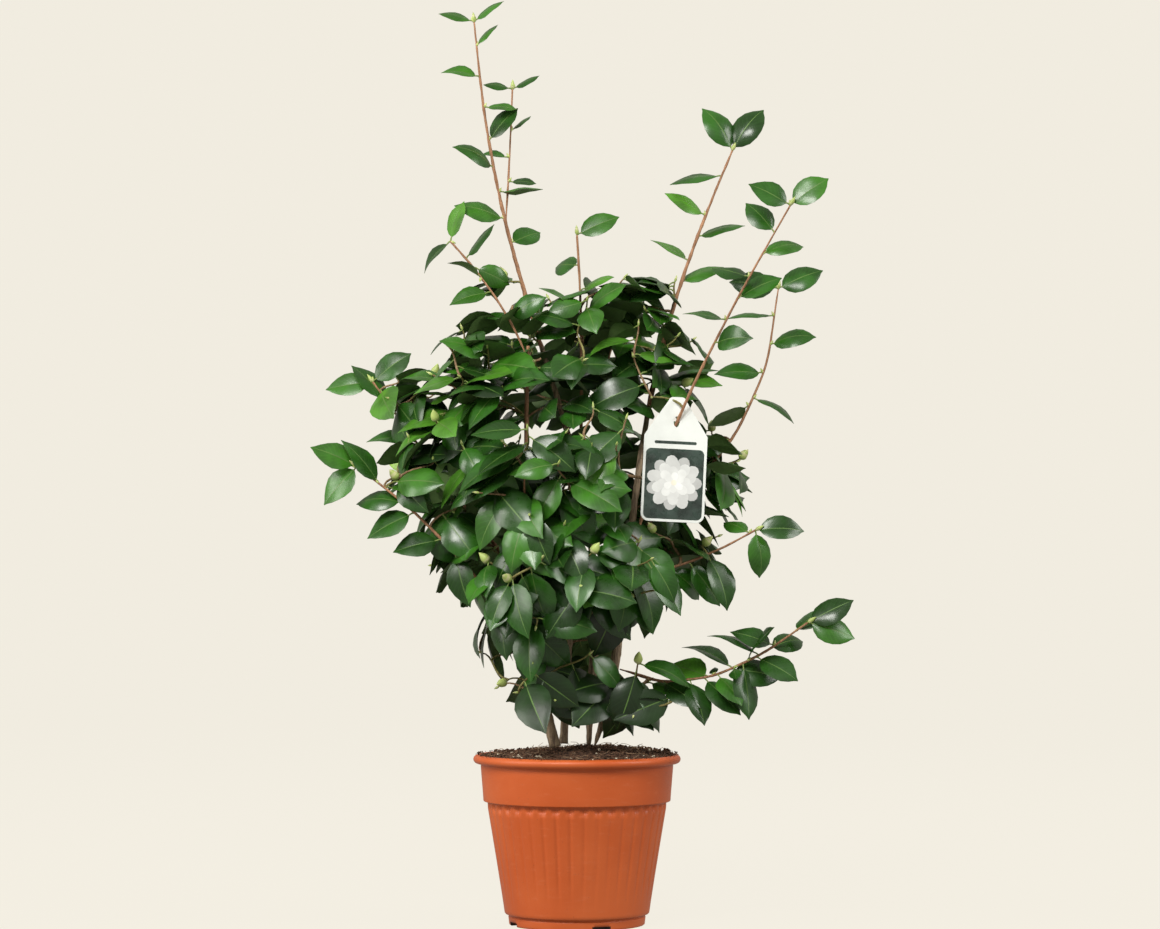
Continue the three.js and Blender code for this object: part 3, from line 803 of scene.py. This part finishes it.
def bent(start, leaving, end, arriving, girths):
    """A smooth path that leaves one place in a direction and arrives at another in its own."""
    thick, thin = girths
    reach = (end - start).length
    pull_start = start + leaving * reach * PULL_START
    pull_end = end - arriving * reach * PULL_END
    places, radii = [], []
    for index in range(BEND_STEPS + 1):
        t = index / BEND_STEPS
        u = 1 - t
        first_half = u ** 3 * start + 3 * u * u * t * pull_start
        places.append(first_half + 3 * u * t * t * pull_end + t ** 3 * end)
        radii.append(thick + (thin - thick) * t)
    return Path(places, radii)


def tone_for(chance, height):
    """One of the first four greens: mostly deep ones, with fresher ones more often higher up."""
    pick = chance.random() + 0.12 * smooth_step(0.3, 0.8, height)
    return sum(pick >= limit for limit in TONE_LIMITS)


def leaf_pose(place, ahead, turn, height, chance):
    """A leaf's direction and the way its upper side looks: low ones hang, high ones spread."""
    outward = outward_at(place)
    side = across(ahead, UP if abs(ahead.z) < 0.9 else outward)
    other = ahead.cross(side)
    radial = side * math.cos(turn) + other * math.sin(turn)
    spread = smooth_step(0.3, 1.0, height)
    direction = ahead * 0.3 + radial * 0.9 + outward * 0.3
    direction.z = 0
    play = chance.uniform(-SLOPE_PLAY, SLOPE_PLAY)
    slope = math.radians(LOW_SLOPE + SLOPE_RISE * spread + play)
    direction = direction.normalized() * math.cos(slope) + UP * math.sin(slope)
    facing = UP * 0.85 + outward * (1.1 - 0.5 * spread) + jitter(chance, 0.4)
    return direction, facing.normalized()


TWIG_SPACING, SHORTEST_TWIG, TARGET_TRIES = 0.043, 0.012, 500
DROP_COST = 1.6  # how much worse it is to feed a place from above than from afar
KEEPS_TONE = 0.75  # how often a leaf has its twig's own green
GREEN_TWIGS = 0.55  # how many of the twigs are green ones
LEAFY_RUN, MORE_RUN = 0.075, 0.05  # how much of a twig bears leaves, and more in the open crest
BRANCHLET_RADII, TWIG_RADII = (0.0021, 0.0015), (0.0015, 0.0009)
LOW_LEAF, HIGH_LEAF = 0.078, 0.064  # leaf lengths at the crown's foot and at its top
LEAF_PROUD = 0.02  # how far a leaf's tip may stand out of the masses
LOW_LEAF_PROUD = 0.008  # the same over the bare feet of the stems
BUD_CHANCE = 0.2


def leafy_twig(path, tone, chance, count, length, from_share):
    """Leaves one after another round the end of a twig, closing up to a tuft at its tip."""
    turn = chance.uniform(0, 2 * math.pi)
    for index in range(count):
        share = 1 - (1 - from_share) * (index / max(1, count - 1)) ** 1.15
        place = path.at(share)
        height = crown_height(place.z)
        turn += math.radians(LEAF_TURN + chance.uniform(-TURN_PLAY, TURN_PLAY))
        size = length * (0.8 + 0.22 * smooth_step(0, 2.5, index)) * chance.uniform(0.84, 1.08)
        for _ in range(3):
            direction, facing = leaf_pose(place, path.ahead(share), turn, height, chance)
            leaf_tone = tone if chance.random() < KEEPS_TONE else tone_for(chance, height)
            proud = LEAF_PROUD if height > 0.25 else LOW_LEAF_PROUD
            if PLANT.leaf(place, direction, facing, size, leaf_tone, chance, proud=proud):
                break
            turn += 2.1
    tip = path.at(1)
    if chance.random() < BUD_CHANCE:
        PLANT.bud(tip, (path.ahead(1) + UP * 0.4).normalized(), FLOWER_BUD, chance)
    else:
        PLANT.bud(tip, path.ahead(1), TWIG_BUD, chance)


FEED_STEPS = 20


def nearest_on(paths, target, low_share):
    """The path and the share of it that best feed a target: near it, and not above it."""
    best = None
    for path in paths:
        for step in range(FEED_STEPS + 1):
            share = low_share + (1 - low_share) * step / FEED_STEPS
            place = path.at(share)
            drop = max(0.0, place.z - target.z + 0.01)
            cost = (place - target).length + DROP_COST * drop
            if best is None or cost < best[0]:
                best = (cost, path, share)
    return best[1], best[2]


def shell_targets(name, chance, apart):
    """Well-spread places a little inside a mass's surface, mostly where it looks outward."""
    places, _, triangles = node_arrays(name)
    centre = Vector(places.mean(axis=0))
    outward = outward_at(centre)
    rows = list(triangles)
    targets = []
    for _ in range(TARGET_TRIES):
        corner_a, corner_b, corner_c = (Vector(places[i]) for i in chance.choice(rows))
        u, v = sorted((chance.random(), chance.random()))
        point = corner_a * u + corner_b * (v - u) + corner_c * (1 - v)
        place = centre.lerp(point, chance.uniform(0.45, 0.95))
        looks_out = (point - centre).normalized().dot(outward)
        if looks_out < chance.uniform(-1.1, 0.1):
            continue
        if all((place - other).length > apart for other in targets) and room_for(place):
            targets.append(place)
    return centre, targets


def fill_mass(name):
    """A branchlet into the middle of a mass, then leafy twigs out to its surface."""
    chance = random.Random(name)
    low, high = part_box(name)
    height = crown_height((low[2] + high[2]) / 2)
    openness = smooth_step(0.7, 0.92, height)
    closer = 0.1 * smooth_step(0.5, 0.7, height)
    centre, targets = shell_targets(name, chance, TWIG_SPACING * (1 - closer + 0.35 * openness))
    limb, share = nearest_on(LIMBS.values(), centre, 0.05)
    start = limb.at(share)
    outward = (centre - start).normalized()
    leaving = (limb.ahead(share) + outward).normalized()
    arriving = (outward + UP * 0.5).normalized()
    branchlet = bent(start, leaving, start.lerp(centre, 0.8), arriving, BRANCHLET_RADII)
    PLANT.twigs.append((branchlet, 0))
    feeders = [branchlet]
    for target in targets:
        feeder, share = nearest_on([*feeders, *LIMBS.values()], target, 0.1)
        start = feeder.at(share)
        reach = target - start
        if reach.length < SHORTEST_TWIG:
            continue
        away = (target - centre).normalized()
        arriving = (away + UP * (0.45 + openness) + outward_at(target) * 0.3).normalized()
        leaving = (feeder.ahead(share) + 1.3 * reach.normalized()).normalized()
        twig = bent(start, leaving, target, arriving, TWIG_RADII)
        PLANT.twigs.append((twig, int(chance.random() < GREEN_TWIGS)))
        feeders.append(twig)
        tone = tone_for(chance, height)
        leafy_run = LEAFY_RUN + MORE_RUN * openness
        from_share = clamp(1 - leafy_run / max(twig.length, 0.02), 0.08, 0.8)
        length = LOW_LEAF + (HIGH_LEAF - LOW_LEAF) * height - 0.006 * openness
        count = chance.choice((3, 4, 4, 5)) + round(1.6 * openness)
        leafy_twig(twig, tone, chance, count, length, from_share)


# ---- Growth: leaves on the clear shoots ----

PADS_APART = 0.015
SHORTEST_PAD = 0.018
SPRAY_STALK = 0.005
LINE_STEPS, FOOT_STEPS = 160, 240


def closeness(ring, axis, direction):
    """How thin a ring of corners is along an axis, for axes that lie across a direction."""
    spread = np.ptp(ring @ np.array(axis))
    return -1.0 if abs(axis.dot(direction)) > 0.7 else 1 / (spread + 1e-6)


def spray_pads(name, limb):
    """Each leaf-sized pad of a CAD spray, as its far tip, its direction and its blade's face.

    A pad's tip is a corner that stands further from the limb than its neighbours. The corners
    next to it lie round its widest part: their middle gives its direction, and the side across
    which they are closest gives the way its blade looks.
    """
    places, edges, _ = node_arrays(name)
    samples = np.array([place[:] for place in limb.samples(LINE_STEPS)])
    reach = np.sqrt(((places[:, None, :] - samples[None]) ** 2).sum(axis=2)).min(axis=1)
    neighbours = {index: set() for index in range(len(places))}
    for a, b in edges:
        neighbours[a].add(b)
        neighbours[b].add(a)
    pads = []
    for index in np.argsort(-reach):
        tip = Vector(places[index])
        highest = all(reach[other] <= reach[index] + 1e-7 for other in neighbours[index])
        crowded = any((tip - pad[0]).length < PADS_APART for pad in pads)
        if not highest or crowded or reach[index] < SHORTEST_PAD:
            continue
        ring = np.array([places[other] for other in neighbours[index]])
        direction = (tip - Vector(ring.mean(axis=0))).normalized()
        _, _, axes = np.linalg.svd(ring - ring.mean(axis=0), full_matrices=False)
        thin = [closeness(ring, Vector(axis), direction) for axis in axes]
        face = Vector(axes[thin.index(max(thin))])
        pads.append((tip, direction, face * (1 if face.z > 0 else -1)))
    return pads


def foot_on(limb, tip, direction):
    """Where the line back from a leaf's tip passes closest to its limb."""
    def miss(share):
        return (limb.at(share) - tip).cross(direction).length

    return limb.at(min((step / FOOT_STEPS for step in range(FOOT_STEPS + 1)), key=miss))


def spray_limb(name):
    """The limb that a CAD spray grows on: the one whose line runs through it."""
    places, _, _ = node_arrays(name)
    cloud = [Vector(place) for place in places[::4]]

    def miss(path):
        samples = path.samples(LINE_STEPS // 2)
        return sum(min((sample - place).length for sample in samples) for place in cloud)

    return min(LIMBS.values(), key=miss)


def leaf_spray(name):
    """One leaf for each pad, from the limb out to the pad's far end."""
    chance = random.Random(name)
    limb = spray_limb(name)
    tone = tone_for(chance, 0.8)
    for tip, direction, face in spray_pads(name, limb):
        foot = foot_on(limb, tip, direction)
        reach = tip - foot
        away = reach.normalized()
        facing = face + jitter(chance, 0.12)
        leaf_tone = tone if chance.random() < 0.6 else tone_for(chance, 0.9)
        length = reach.length - SPRAY_STALK + 0.002
        PLANT.leaf(foot, away, facing, length, leaf_tone, chance, SPRAY_STALK)
        if chance.random() < 0.7:
            PLANT.bud(foot, (limb.ahead(0.9) + away * 0.7).normalized(), AXIL_BUD, chance)
    PLANT.bud(limb.at(1), limb.ahead(1), SHOOT_BUD, chance)


LEAFY_STRETCHES = {  # limb: first and last share of its length, leaves and their length
    "bough_right_low": (0.22, 0.7, 8, 0.056),
    "bough_right_long": (0.36, 0.6, 4, 0.054),
    "bough_right_short": (0.2, 0.4, 3, 0.056),
    "bough_left_low": (0.5, 0.72, 4, 0.058),
    "bough_left_high": (0.4, 0.62, 4, 0.056),
    "bough_right_mid": (0.3, 0.6, 3, 0.058),
    "bough_left_crest": (0.25, 0.7, 3, 0.046),
    "stem_thin": (0.84, 0.94, 3, 0.05),
}
BACKLIT_LEAF = ("bough_left_high", 3)  # the one leaf painted a bright yellow green, as if lit through from behind


def leafy_stretch(name):
    """Leaves on one side and then the other along a limb, between its mass and its end."""
    chance = random.Random(name)
    limb = LIMBS[name]
    first, last, count, length = LEAFY_STRETCHES[name]
    for index in range(count):
        share = first + (last - first) * index / (count - 1)
        place = limb.at(share)
        height = crown_height(place.z)
        turn = chance.uniform(-0.5, 0.5) + math.pi * index
        direction, facing = leaf_pose(place, limb.ahead(share), turn, height, chance)
        facing += FRONT * (1.2 if place.y < 0.03 else -1.2)
        size = length * chance.uniform(0.85, 1.1)
        tone = BACKLIT_TONE if (name, index) == BACKLIT_LEAF else tone_for(chance, height)
        PLANT.leaf(place, direction, facing, size, tone, chance)


# ---- Pot ----

POT_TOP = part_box("pot")[1][2]
POT_SEGMENTS = 480
RIBS = 40
GROOVE_DEPTH, GROOVE_HALF_WIDTH = 1.15 * MM, 0.13  # the width as a share of a rib's
RECESS_DEPTH, RECESS_FOOT, RECESS_TOP = 0.9 * MM, 133.9 * MM, 140.5 * MM
WALL_TOP, WALL_FOOT = 141 * MM, 17 * MM
NOTCH_HALF_WIDTH, NOTCH_HEIGHT, NOTCH_REACH = 10 * MM, 4.6 * MM, 69.5 * MM
NOTCH_FIRST_TURN = math.radians(-69)


def pot_profile():
    """Radius and height from the middle of the underside, up the outside and down inside."""
    foot = [(0, 0), (68, 0), (69.6, 0), (77.4, 0), (78.3, 0.7), (78.6, 2.4), (78.8, 4.6)]
    foot.append((79.3, 8.6))
    groove = [(79.2, 9.4), (78.2, 10.2), (78.0, 11.4), (79.6, 12.2), (82.6, 12.8), (83.6, 14)]
    wall = []
    for step in range(19):
        share = step / 18
        wall.append((84.1 + (103 - 84.1) * share, 17 + (133.4 - 17) * share ** 0.96))
    step_up = [(103.1, 134.4), (103.4, 139.8), (103.5, 141), (104.3, 141.8), (107.1, 142.1)]
    band = list(arc((107.0, 143.4), 1.3, -70, 0, 3))
    band += [(108.9, 152), (109.9, 164), (110.9, 176), (111.4, 182.4)]
    under_lip = [(111.2, 183.8), (111.6, 184.9), (113.6, 185.3)]
    lip = list(arc((115.2, 190.6), 4.8, -75, 90, 9))
    inside = [(114.2, 195.9), (113.2, 195.2), (112.6, 193.8), (112.2, 190), (109.2, 183)]
    inside.append((105.4, 143))
    points = foot + groove + wall + step_up + band + under_lip + lip + inside
    return [(radius * MM, height * MM) for radius, height in points]


def flute(turn, height):
    """How far the ribbed wall is sunk: narrow grooves that fade towards the foot."""
    off = (turn * RIBS / (2 * math.pi)) % 1 - 0.5
    groove = math.exp(-((off / GROOVE_HALF_WIDTH) ** 2))
    fade = smooth_step(WALL_FOOT, WALL_FOOT + 0.055, height)
    recess = smooth_step(0.34, 0.24, abs(off)) if RECESS_FOOT < height < RECESS_TOP else 0
    return fade * (GROOVE_DEPTH * groove + RECESS_DEPTH * recess)


def notch_off(turn):
    """How far round a place is from the middle of the nearest of the four foot notches."""
    quarter = math.pi / 2
    return abs((turn - NOTCH_FIRST_TURN + quarter / 2) % quarter - quarter / 2)


def in_notch(place, margin):
    """Whether a place is in a foot notch, or within a margin of its sides."""
    radius = place.xy.length
    width = notch_off(math.atan2(place.y, place.x)) * radius
    beside = width < NOTCH_HALF_WIDTH + margin and radius > NOTCH_REACH - margin
    return beside and place.z < NOTCH_HEIGHT + 0.2 * margin


def pot_piece():
    bm = lathe(pot_profile(), POT_SEGMENTS)
    for vert in bm.verts:
        turn = math.atan2(vert.co.y, vert.co.x)
        radius = math.hypot(vert.co.x, vert.co.y)
        height = vert.co.z
        on_outside = radius > height * 0.152 + 0.0805
        if on_outside and WALL_FOOT - MM < height < WALL_TOP:
            radius -= flute(turn, height)
        if in_notch(vert.co, 0):
            height = NOTCH_HEIGHT
        vert.co = (*spot(radius, turn), height)
    # faces in and beside the foot notches take the painted shade
    for face in bm.faces:
        face.material_index = int(in_notch(face.calc_center_median(), MM))
    piece = bmesh_piece("nursery_pot", bm, [POT_PAINT, NOTCH_SHADE_PAINT])
    return finish_piece(piece, ["pot"])


# ---- Potting mix ----

MIX_RADIUS = 0.1118
MIX_EDGE = 0.1948  # the mix's height where it meets the pot's wall
MIX_RINGS, MIX_SEGMENTS = 44, 150
SKIRT_FOOT, SKIRT_SHARE = 0.172, 0.9  # where the mix's edge ends, unseen inside the pot


def mix_height(x, y):
    """A lumpy mound that is highest between the stems and dips just inside the lip."""
    def lumps(scale, seed):
        return noise.noise(Vector((x * scale, y * scale, seed)))

    top = SOIL_LEVEL - 0.004
    mound = top + (MIX_EDGE - top) * smooth_step(0.02, MIX_RADIUS, math.hypot(x, y))
    bank = 0.0035 * math.exp(-((x - 0.06) ** 2 + (y - 0.05) ** 2) / 0.003)
    grit = 0.002 * lumps(150, 7.7) + 0.0012 * lumps(420, 1.3)
    return mound + bank + 0.0032 * lumps(42, 3.1) + grit


def mix_piece():
    rings = [MIX_RADIUS * ring / MIX_RINGS for ring in range(MIX_RINGS + 1)]
    bm = lathe([(radius, 0) for radius in rings], MIX_SEGMENTS)
    for vert in bm.verts:
        vert.co.z = mix_height(vert.co.x, vert.co.y)
    rim = [edge for edge in bm.edges if edge.is_boundary]
    skirt = bmesh.ops.extrude_edge_only(bm, edges=rim)["geom"]
    for item in skirt:
        if isinstance(item, bmesh.types.BMVert):
            item.co = (item.co.x * SKIRT_SHARE, item.co.y * SKIRT_SHARE, SKIRT_FOOT)
    piece = bmesh_piece("potting_mix", bm, [SOIL_PAINT])
    return finish_piece(piece, ["soil"])


CRUMBS, FIBRES = 1500, 150
CRUMB_SIZES, SPILT_SCALE, MIX_SCALE = (0.0014, 0.0034), 0.8, 1.25
SPILT_RADII = (0.108, 0.1185)  # where the crumbs spilt on the lip lie
SPILT_EVERY = 6
WALL_RADIUS = 0.1125
CHIP_CHANCE = 0.03
FIBRE_RADIUS, FIBRE_STEPS = 0.00028, 3
FIBRE_SPREAD, FIBRE_LIMIT = 0.112, 0.116  # how far out a fibre may start, and may reach


def crumb_shape(seed):
    bm = bmesh.new()
    bmesh.ops.create_icosphere(bm, subdivisions=1, radius=0.5)
    chance = random.Random(seed)
    for vert in bm.verts:
        vert.co *= chance.uniform(0.65, 1.15)
    return Shape(bm, lambda face: 0)


def crumbs():
    """Loose crumbs on the mix, with some spilt on the lip, and a few pale chips."""
    chance = random.Random("crumbs")
    shapes = [crumb_shape(seed) for seed in range(5)]
    placements = []
    for index in range(CRUMBS):
        turn = chance.uniform(0, 2 * math.pi)
        spilt = index % SPILT_EVERY == 0
        if spilt:
            radius = chance.uniform(*SPILT_RADII)
        else:
            radius = MIX_RADIUS * math.sqrt(chance.random())
        x, y = spot(radius, turn)
        size = chance.uniform(*CRUMB_SIZES) * (SPILT_SCALE if spilt else MIX_SCALE)
        floor = POT_TOP + 0.0005 if radius > WALL_RADIUS else 0
        height = max(mix_height(x, y), floor)
        axis = jitter(chance, 1).normalized()
        matrix = Matrix.Translation((x, y, height + 0.2 * size))
        matrix = matrix @ Matrix.Rotation(chance.uniform(0, 6), 4, axis)
        matrix = matrix @ Matrix.Diagonal((size * 1.5, size, size * 0.8, 1))
        shape = chance.choice(shapes)
        placements.append((shape, matrix, (int(chance.random() < CHIP_CHANCE),)))
    scattered("peat_crumbs", placements, [CRUMB_PAINT, CHIP_PAINT])


def fibres():
    """Pale threads and bits of root that lie on the mix."""
    chance = random.Random("fibres")
    paths = []
    for _ in range(FIBRES):
        turn = chance.uniform(0, 2 * math.pi)
        x, y = spot(FIBRE_SPREAD * math.sqrt(chance.random()), turn)
        heading = chance.uniform(0, 2 * math.pi)
        length = chance.uniform(0.006, 0.02)
        rise = chance.uniform(0, 0.35)
        places = []
        for step in range(FIBRE_STEPS + 1):
            run = length * step / FIBRE_STEPS
            px, py = spot(run, heading, (x, y))
            heading += chance.uniform(-0.5, 0.5)
            places.append((px, py, mix_height(px, py) + 0.0008 + rise * run))
        if all(math.hypot(place[0], place[1]) < FIBRE_LIMIT for place in places):
            paths.append((Path(places, [FIBRE_RADIUS] * len(places)), 0))
    rods("peat_fibres", paths, [FIBRE_PAINT], 0)


# ---- Hang label ----

CARD_WIDTH, CARD_BODY, CARD_HEAD = 72 * MM, 99 * MM, 45 * MM
CARD_HEAD_WIDTH, CARD_CORNER, CARD_THICKNESS = 20 * MM, 9 * MM, 0.8 * MM
HOLE_ABOVE, HOLE_HALF_WIDTH, HOLE_HALF_HEIGHT = 16.5 * MM, 3.4 * MM, 6.4 * MM
HEAD_CORNER = 5 * MM
INK = 0.06 * MM  # how far a print stands out
BORDER, PANEL_DROP, PANEL_CORNER = 2.8 * MM, 15 * MM, 6 * MM
BAR_HALF, BAR_TOP_DROP, BAR_FOOT_DROP, BAR_CORNER = 24 * MM, 6 * MM, 9.5 * MM, 1.7 * MM
FLOWER_HEIGHT, HEART_RADIUS = 45 * MM, 3.2 * MM
PETAL_INK, LAP_STEP, RING_STEP = 0.04 * MM, 0.008 * MM, 0.12 * MM
PETAL_RINGS = [  # petals, their length and width in millimetres, and the ring's turn
    (11, 32, 20, 0), (10, 26, 17, 0.3), (8, 19, 14, 0.1), (6, 12, 10, 0.45),
]


def card_frame():
    """The CAD card's own directions: across, up, towards the viewer, and the middle of its foot."""
    places, _, _ = node_arrays("hang_label")
    _, _, axes = np.linalg.svd(places - places.mean(axis=0), full_matrices=False)
    up = Vector(axes[0]) * (1 if axes[0][2] > 0 else -1)
    out = Vector(axes[2]) * (1 if axes[2][1] < 0 else -1)
    side = up.cross(out)
    local = [(Vector(p).dot(side), Vector(p).dot(up), Vector(p).dot(out)) for p in places]
    low = [min(column) for column in zip(*local)]
    high = [max(column) for column in zip(*local)]
    middle = side * (low[0] + high[0]) / 2 + up * low[1] + out * (low[2] + high[2]) / 2
    return Matrix.Translation(middle) @ axes_matrix(side, up, out)


def flat_shape(outlines, depth, bevel=0.0):
    """A filled outline with holes, given a thickness: a bmesh in its own plane."""
    curve = bpy.data.curves.new("outline", "CURVE")
    curve.dimensions = "2D"
    curve.fill_mode = "BOTH"
    curve.extrude = depth / 2 - bevel
    curve.bevel_depth = bevel
    for outline in outlines:
        spline = curve.splines.new("POLY")
        spline.points.add(len(outline) - 1)
        spline.use_cyclic_u = True
        for point, place in zip(spline.points, outline):
            point.co = (place[0], place[1], 0, 1)
    bm = bmesh.new()
    bm.from_mesh(curve_mesh(curve))
    bmesh.ops.remove_doubles(bm, verts=bm.verts, dist=SAME_PLACE)
    return bm


def rounded_box(half, foot, top, corner):
    """The outline of a box about the card's middle line, with round corners."""
    outline = []
    corners = ((1, foot + corner), (1, top - corner), (-1, top - corner), (-1, foot + corner))
    for index, (side, height) in enumerate(corners):
        first = 90 * index - 90
        outline += arc((side * (half - corner), height), corner, first, first + 90, 6)
    return outline


def card_outline():
    """Two round lower corners, and a head that tapers to two smaller ones."""
    half, head, top = CARD_WIDTH / 2, CARD_HEAD_WIDTH / 2, CARD_BODY + CARD_HEAD
    outline = list(arc((half - CARD_CORNER, CARD_CORNER), CARD_CORNER, -90, 0, 7))
    outline += [(half, CARD_BODY), (head, top - 4 * MM)]
    outline += arc((head - HEAD_CORNER, top - HEAD_CORNER), HEAD_CORNER, 20, 90, 4)
    outline += arc((-head + HEAD_CORNER, top - HEAD_CORNER), HEAD_CORNER, 90, 160, 4)
    outline += [(-head, top - 4 * MM), (-half, CARD_BODY)]
    outline += arc((-half + CARD_CORNER, CARD_CORNER), CARD_CORNER, 180, 270, 7)
    return outline


def hole_outline():
    middle = CARD_BODY + HOLE_ABOVE
    turns = [math.radians(15 * step) for step in range(24)]
    return [(HOLE_HALF_WIDTH * math.cos(t), middle + HOLE_HALF_HEIGHT * math.sin(t)) for t in turns]


def petal_outline(turn, length, width):
    """A broad round petal that points away from the flower's heart."""
    outline = []
    for step in range(16):
        angle = 2 * math.pi * step / 16
        x = 0.5 * length * (1 + math.cos(angle))
        y = 0.5 * width * math.sin(angle) * (0.72 + 0.28 * math.cos(angle))
        outline.append((
            x * math.cos(turn) - y * math.sin(turn),
            FLOWER_HEIGHT + x * math.sin(turn) + y * math.cos(turn),
        ))
    return outline


def label_layer(name, outlines, depth, lift, paints, place, bevel=0.0, replaced=()):
    """One flat layer of the label, standing out from the card's middle by a lift."""
    bm = flat_shape(outlines, depth, bevel)
    bmesh.ops.transform(bm, matrix=place @ Matrix.Translation((0, 0, lift)), verts=bm.verts)
    return finish_piece(bmesh_piece(name, bm, paints, smooth=False), replaced)


def label_pieces():
    """The card, a printed panel and bar, and the rosette, each layer above the last."""
    place = card_frame()
    face = CARD_THICKNESS / 2
    label_layer(
        "label_card", [card_outline(), hole_outline()], CARD_THICKNESS, 0, [CARD_PAINT], place,
        0.12 * MM, ["hang_label"],
    )
    panel = rounded_box(CARD_WIDTH / 2 - BORDER, BORDER, CARD_BODY - PANEL_DROP, PANEL_CORNER)
    bar = rounded_box(BAR_HALF, CARD_BODY - BAR_FOOT_DROP, CARD_BODY - BAR_TOP_DROP, BAR_CORNER)
    for name, outline in (("label_printed_panel", panel), ("label_plain_bar", bar)):
        label_layer(name, [outline], INK, face + INK / 2, [PRINT_PAINT], place)
    for layer, ring in enumerate(PETAL_RINGS):
        petal_ring(layer, ring, face + 0.08 * MM + RING_STEP * layer, place)
    heart = list(arc((0, FLOWER_HEIGHT), HEART_RADIUS, 0, 345, 23))
    lift = face + 0.14 * MM + RING_STEP * len(PETAL_RINGS)
    label_layer("label_flower_heart", [heart], 0.05 * MM, lift, [FLOWER_HEART_PAINT], place)


def petal_ring(layer, ring, lift, place):
    """One ring of the printed rosette: broad petals that lap over each other, as one piece."""
    count, length, width, twist = ring
    whole = bmesh.new()
    for index in range(count):
        turn = twist + 2 * math.pi * index / count
        petal = flat_shape([petal_outline(turn, length * MM, width * MM)], PETAL_INK)
        lapped = Matrix.Translation((0, 0, lift + LAP_STEP * index))
        bmesh.ops.transform(petal, matrix=place @ lapped, verts=petal.verts)
        for face in petal.faces:
            face.material_index = index % 2
        mesh = bpy.data.meshes.new("petal")
        petal.to_mesh(mesh)
        petal.free()
        whole.from_mesh(mesh)
        bpy.data.meshes.remove(mesh)
    paints = PETAL_PAINTS[layer:layer + 2]
    finish_piece(bmesh_piece(f"label_petals_{layer + 1}", whole, paints, smooth=False))


# ---- Stage, light and camera ----

PALE = (0.887, 0.847, 0.753)


def backdrop():
    """A round pale floor that sweeps up into a wall all round, with a little light of its own."""
    reach, bend, height = 9.0, 2.5, 10.0
    sweep = arc((reach - bend, bend), bend, -90, 0, 24)
    bm = lathe([(0, 0), *sweep, (reach, height)], 96)
    paint = Paint(
        "pale backdrop", Base_Color=tinted(PALE, 0.025), Roughness=0.9, Specular_IOR_Level=0.0,
        Emission_Color=PALE, Emission_Strength=0.98,
    )
    floor = bmesh_piece("backdrop", bm, [paint.material])
    floor.visible_diffuse = False
    floor.visible_glossy = False


def soft_light(name, place, aim, size, power, colour):
    light = bpy.data.lights.new(name, "AREA")
    light.shape = "RECTANGLE"
    light.size, light.size_y = size
    light.energy = power
    light.color = colour
    lamp = linked(name, light)
    lamp.location = place
    lamp.rotation_euler = (Vector(aim) - Vector(place)).to_track_quat("-Z", "Y").to_euler()
    return lamp


def studio():
    world = bpy.data.worlds.new("studio")
    bpy.context.scene.world = world
    world.use_nodes = True
    background = world.node_tree.nodes["Background"]
    background.inputs["Color"].default_value = (*PALE, 1)
    background.inputs["Strength"].default_value = 0.42
    soft_light("front window", (-0.9, -2.6, 2.7), (0, 0, 0.5), (1.5, 1.1), 104, (1, 0.985, 0.95))
    soft_light("left window", (-2.6, -0.9, 1.6), (0, 0, 0.5), (1.2, 1.8), 44, (1, 0.97, 0.93))
    soft_light("right window", (2.6, -0.9, 1.9), (0, 0, 0.5), (1.0, 1.8), 42, (1, 0.98, 0.96))
    back = soft_light("back light", (0.4, 2.2, 2.6), (0, 0, 0.7), (2.2, 1.2), 40, (1, 0.99, 0.97))
    back.visible_glossy = False


def camera():
    """A long lens at the height of the lower crown, tilted up a little."""
    lens = bpy.data.cameras.new("camera")
    lens.lens = 103.5
    lens.clip_end = 60  # past the backdrop's far wall
    eye = linked("camera", lens)
    eye.location = (3.5 * MM, -3.87, 0.42)
    eye.rotation_euler = (math.radians(90 + 1.65), 0, 0)
    scene = bpy.context.scene
    scene.camera = eye
    scene.render.resolution_x = 1160
    scene.render.resolution_y = 929
    scene.view_settings.view_transform = "Standard"
    scene.view_settings.exposure = 0.0


# ---- Putting it together ----

def grow():
    """Bark on the limbs, then every twig, leaf, stalk and bud, in two halves of leaves."""
    for name in LIMB_NAMES:
        limb_piece(name)
    for name in MASS_NAMES:
        fill_mass(name)
    for name in SPRAY_NAMES:
        leaf_spray(name)
    for name in LEAFY_STRETCHES:
        leafy_stretch(name)
    paints = [*LEAF_GREENS, LEAF_RIB, LEAF_BACK, LEAF_BACK_BACKLIT]
    split = sorted(leaf[1].translation.z for leaf in PLANT.leaves)[len(PLANT.leaves) // 2]
    lower = [leaf for leaf in PLANT.leaves if leaf[1].translation.z < split]
    upper = [leaf for leaf in PLANT.leaves if leaf[1].translation.z >= split]
    low_masses = [name for name in MASS_NAMES if sum(end[2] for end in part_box(name)) < 2 * split]
    high_masses = [name for name in MASS_NAMES if name not in low_masses]
    scattered("lower_leaves", lower, paints, low_masses)
    scattered("upper_leaves", upper, paints, high_masses + SPRAY_NAMES)
    scattered("buds", PLANT.buds, [BUD_PAINT, BUD_TIP_PAINT])
    rods("twigs", PLANT.twigs, [TWIG_PAINT, GREEN_TWIG_PAINT])
    rods("leaf_stalks", PLANT.stalks, [STALK_PAINT], 0)
    print(len(PLANT.leaves), "leaves", len(PLANT.twigs), "twigs", len(PLANT.buds), "buds")


grow()
pot_piece()
mix_piece()
crumbs()
fibres()
label_pieces()
backdrop()
studio()
camera()
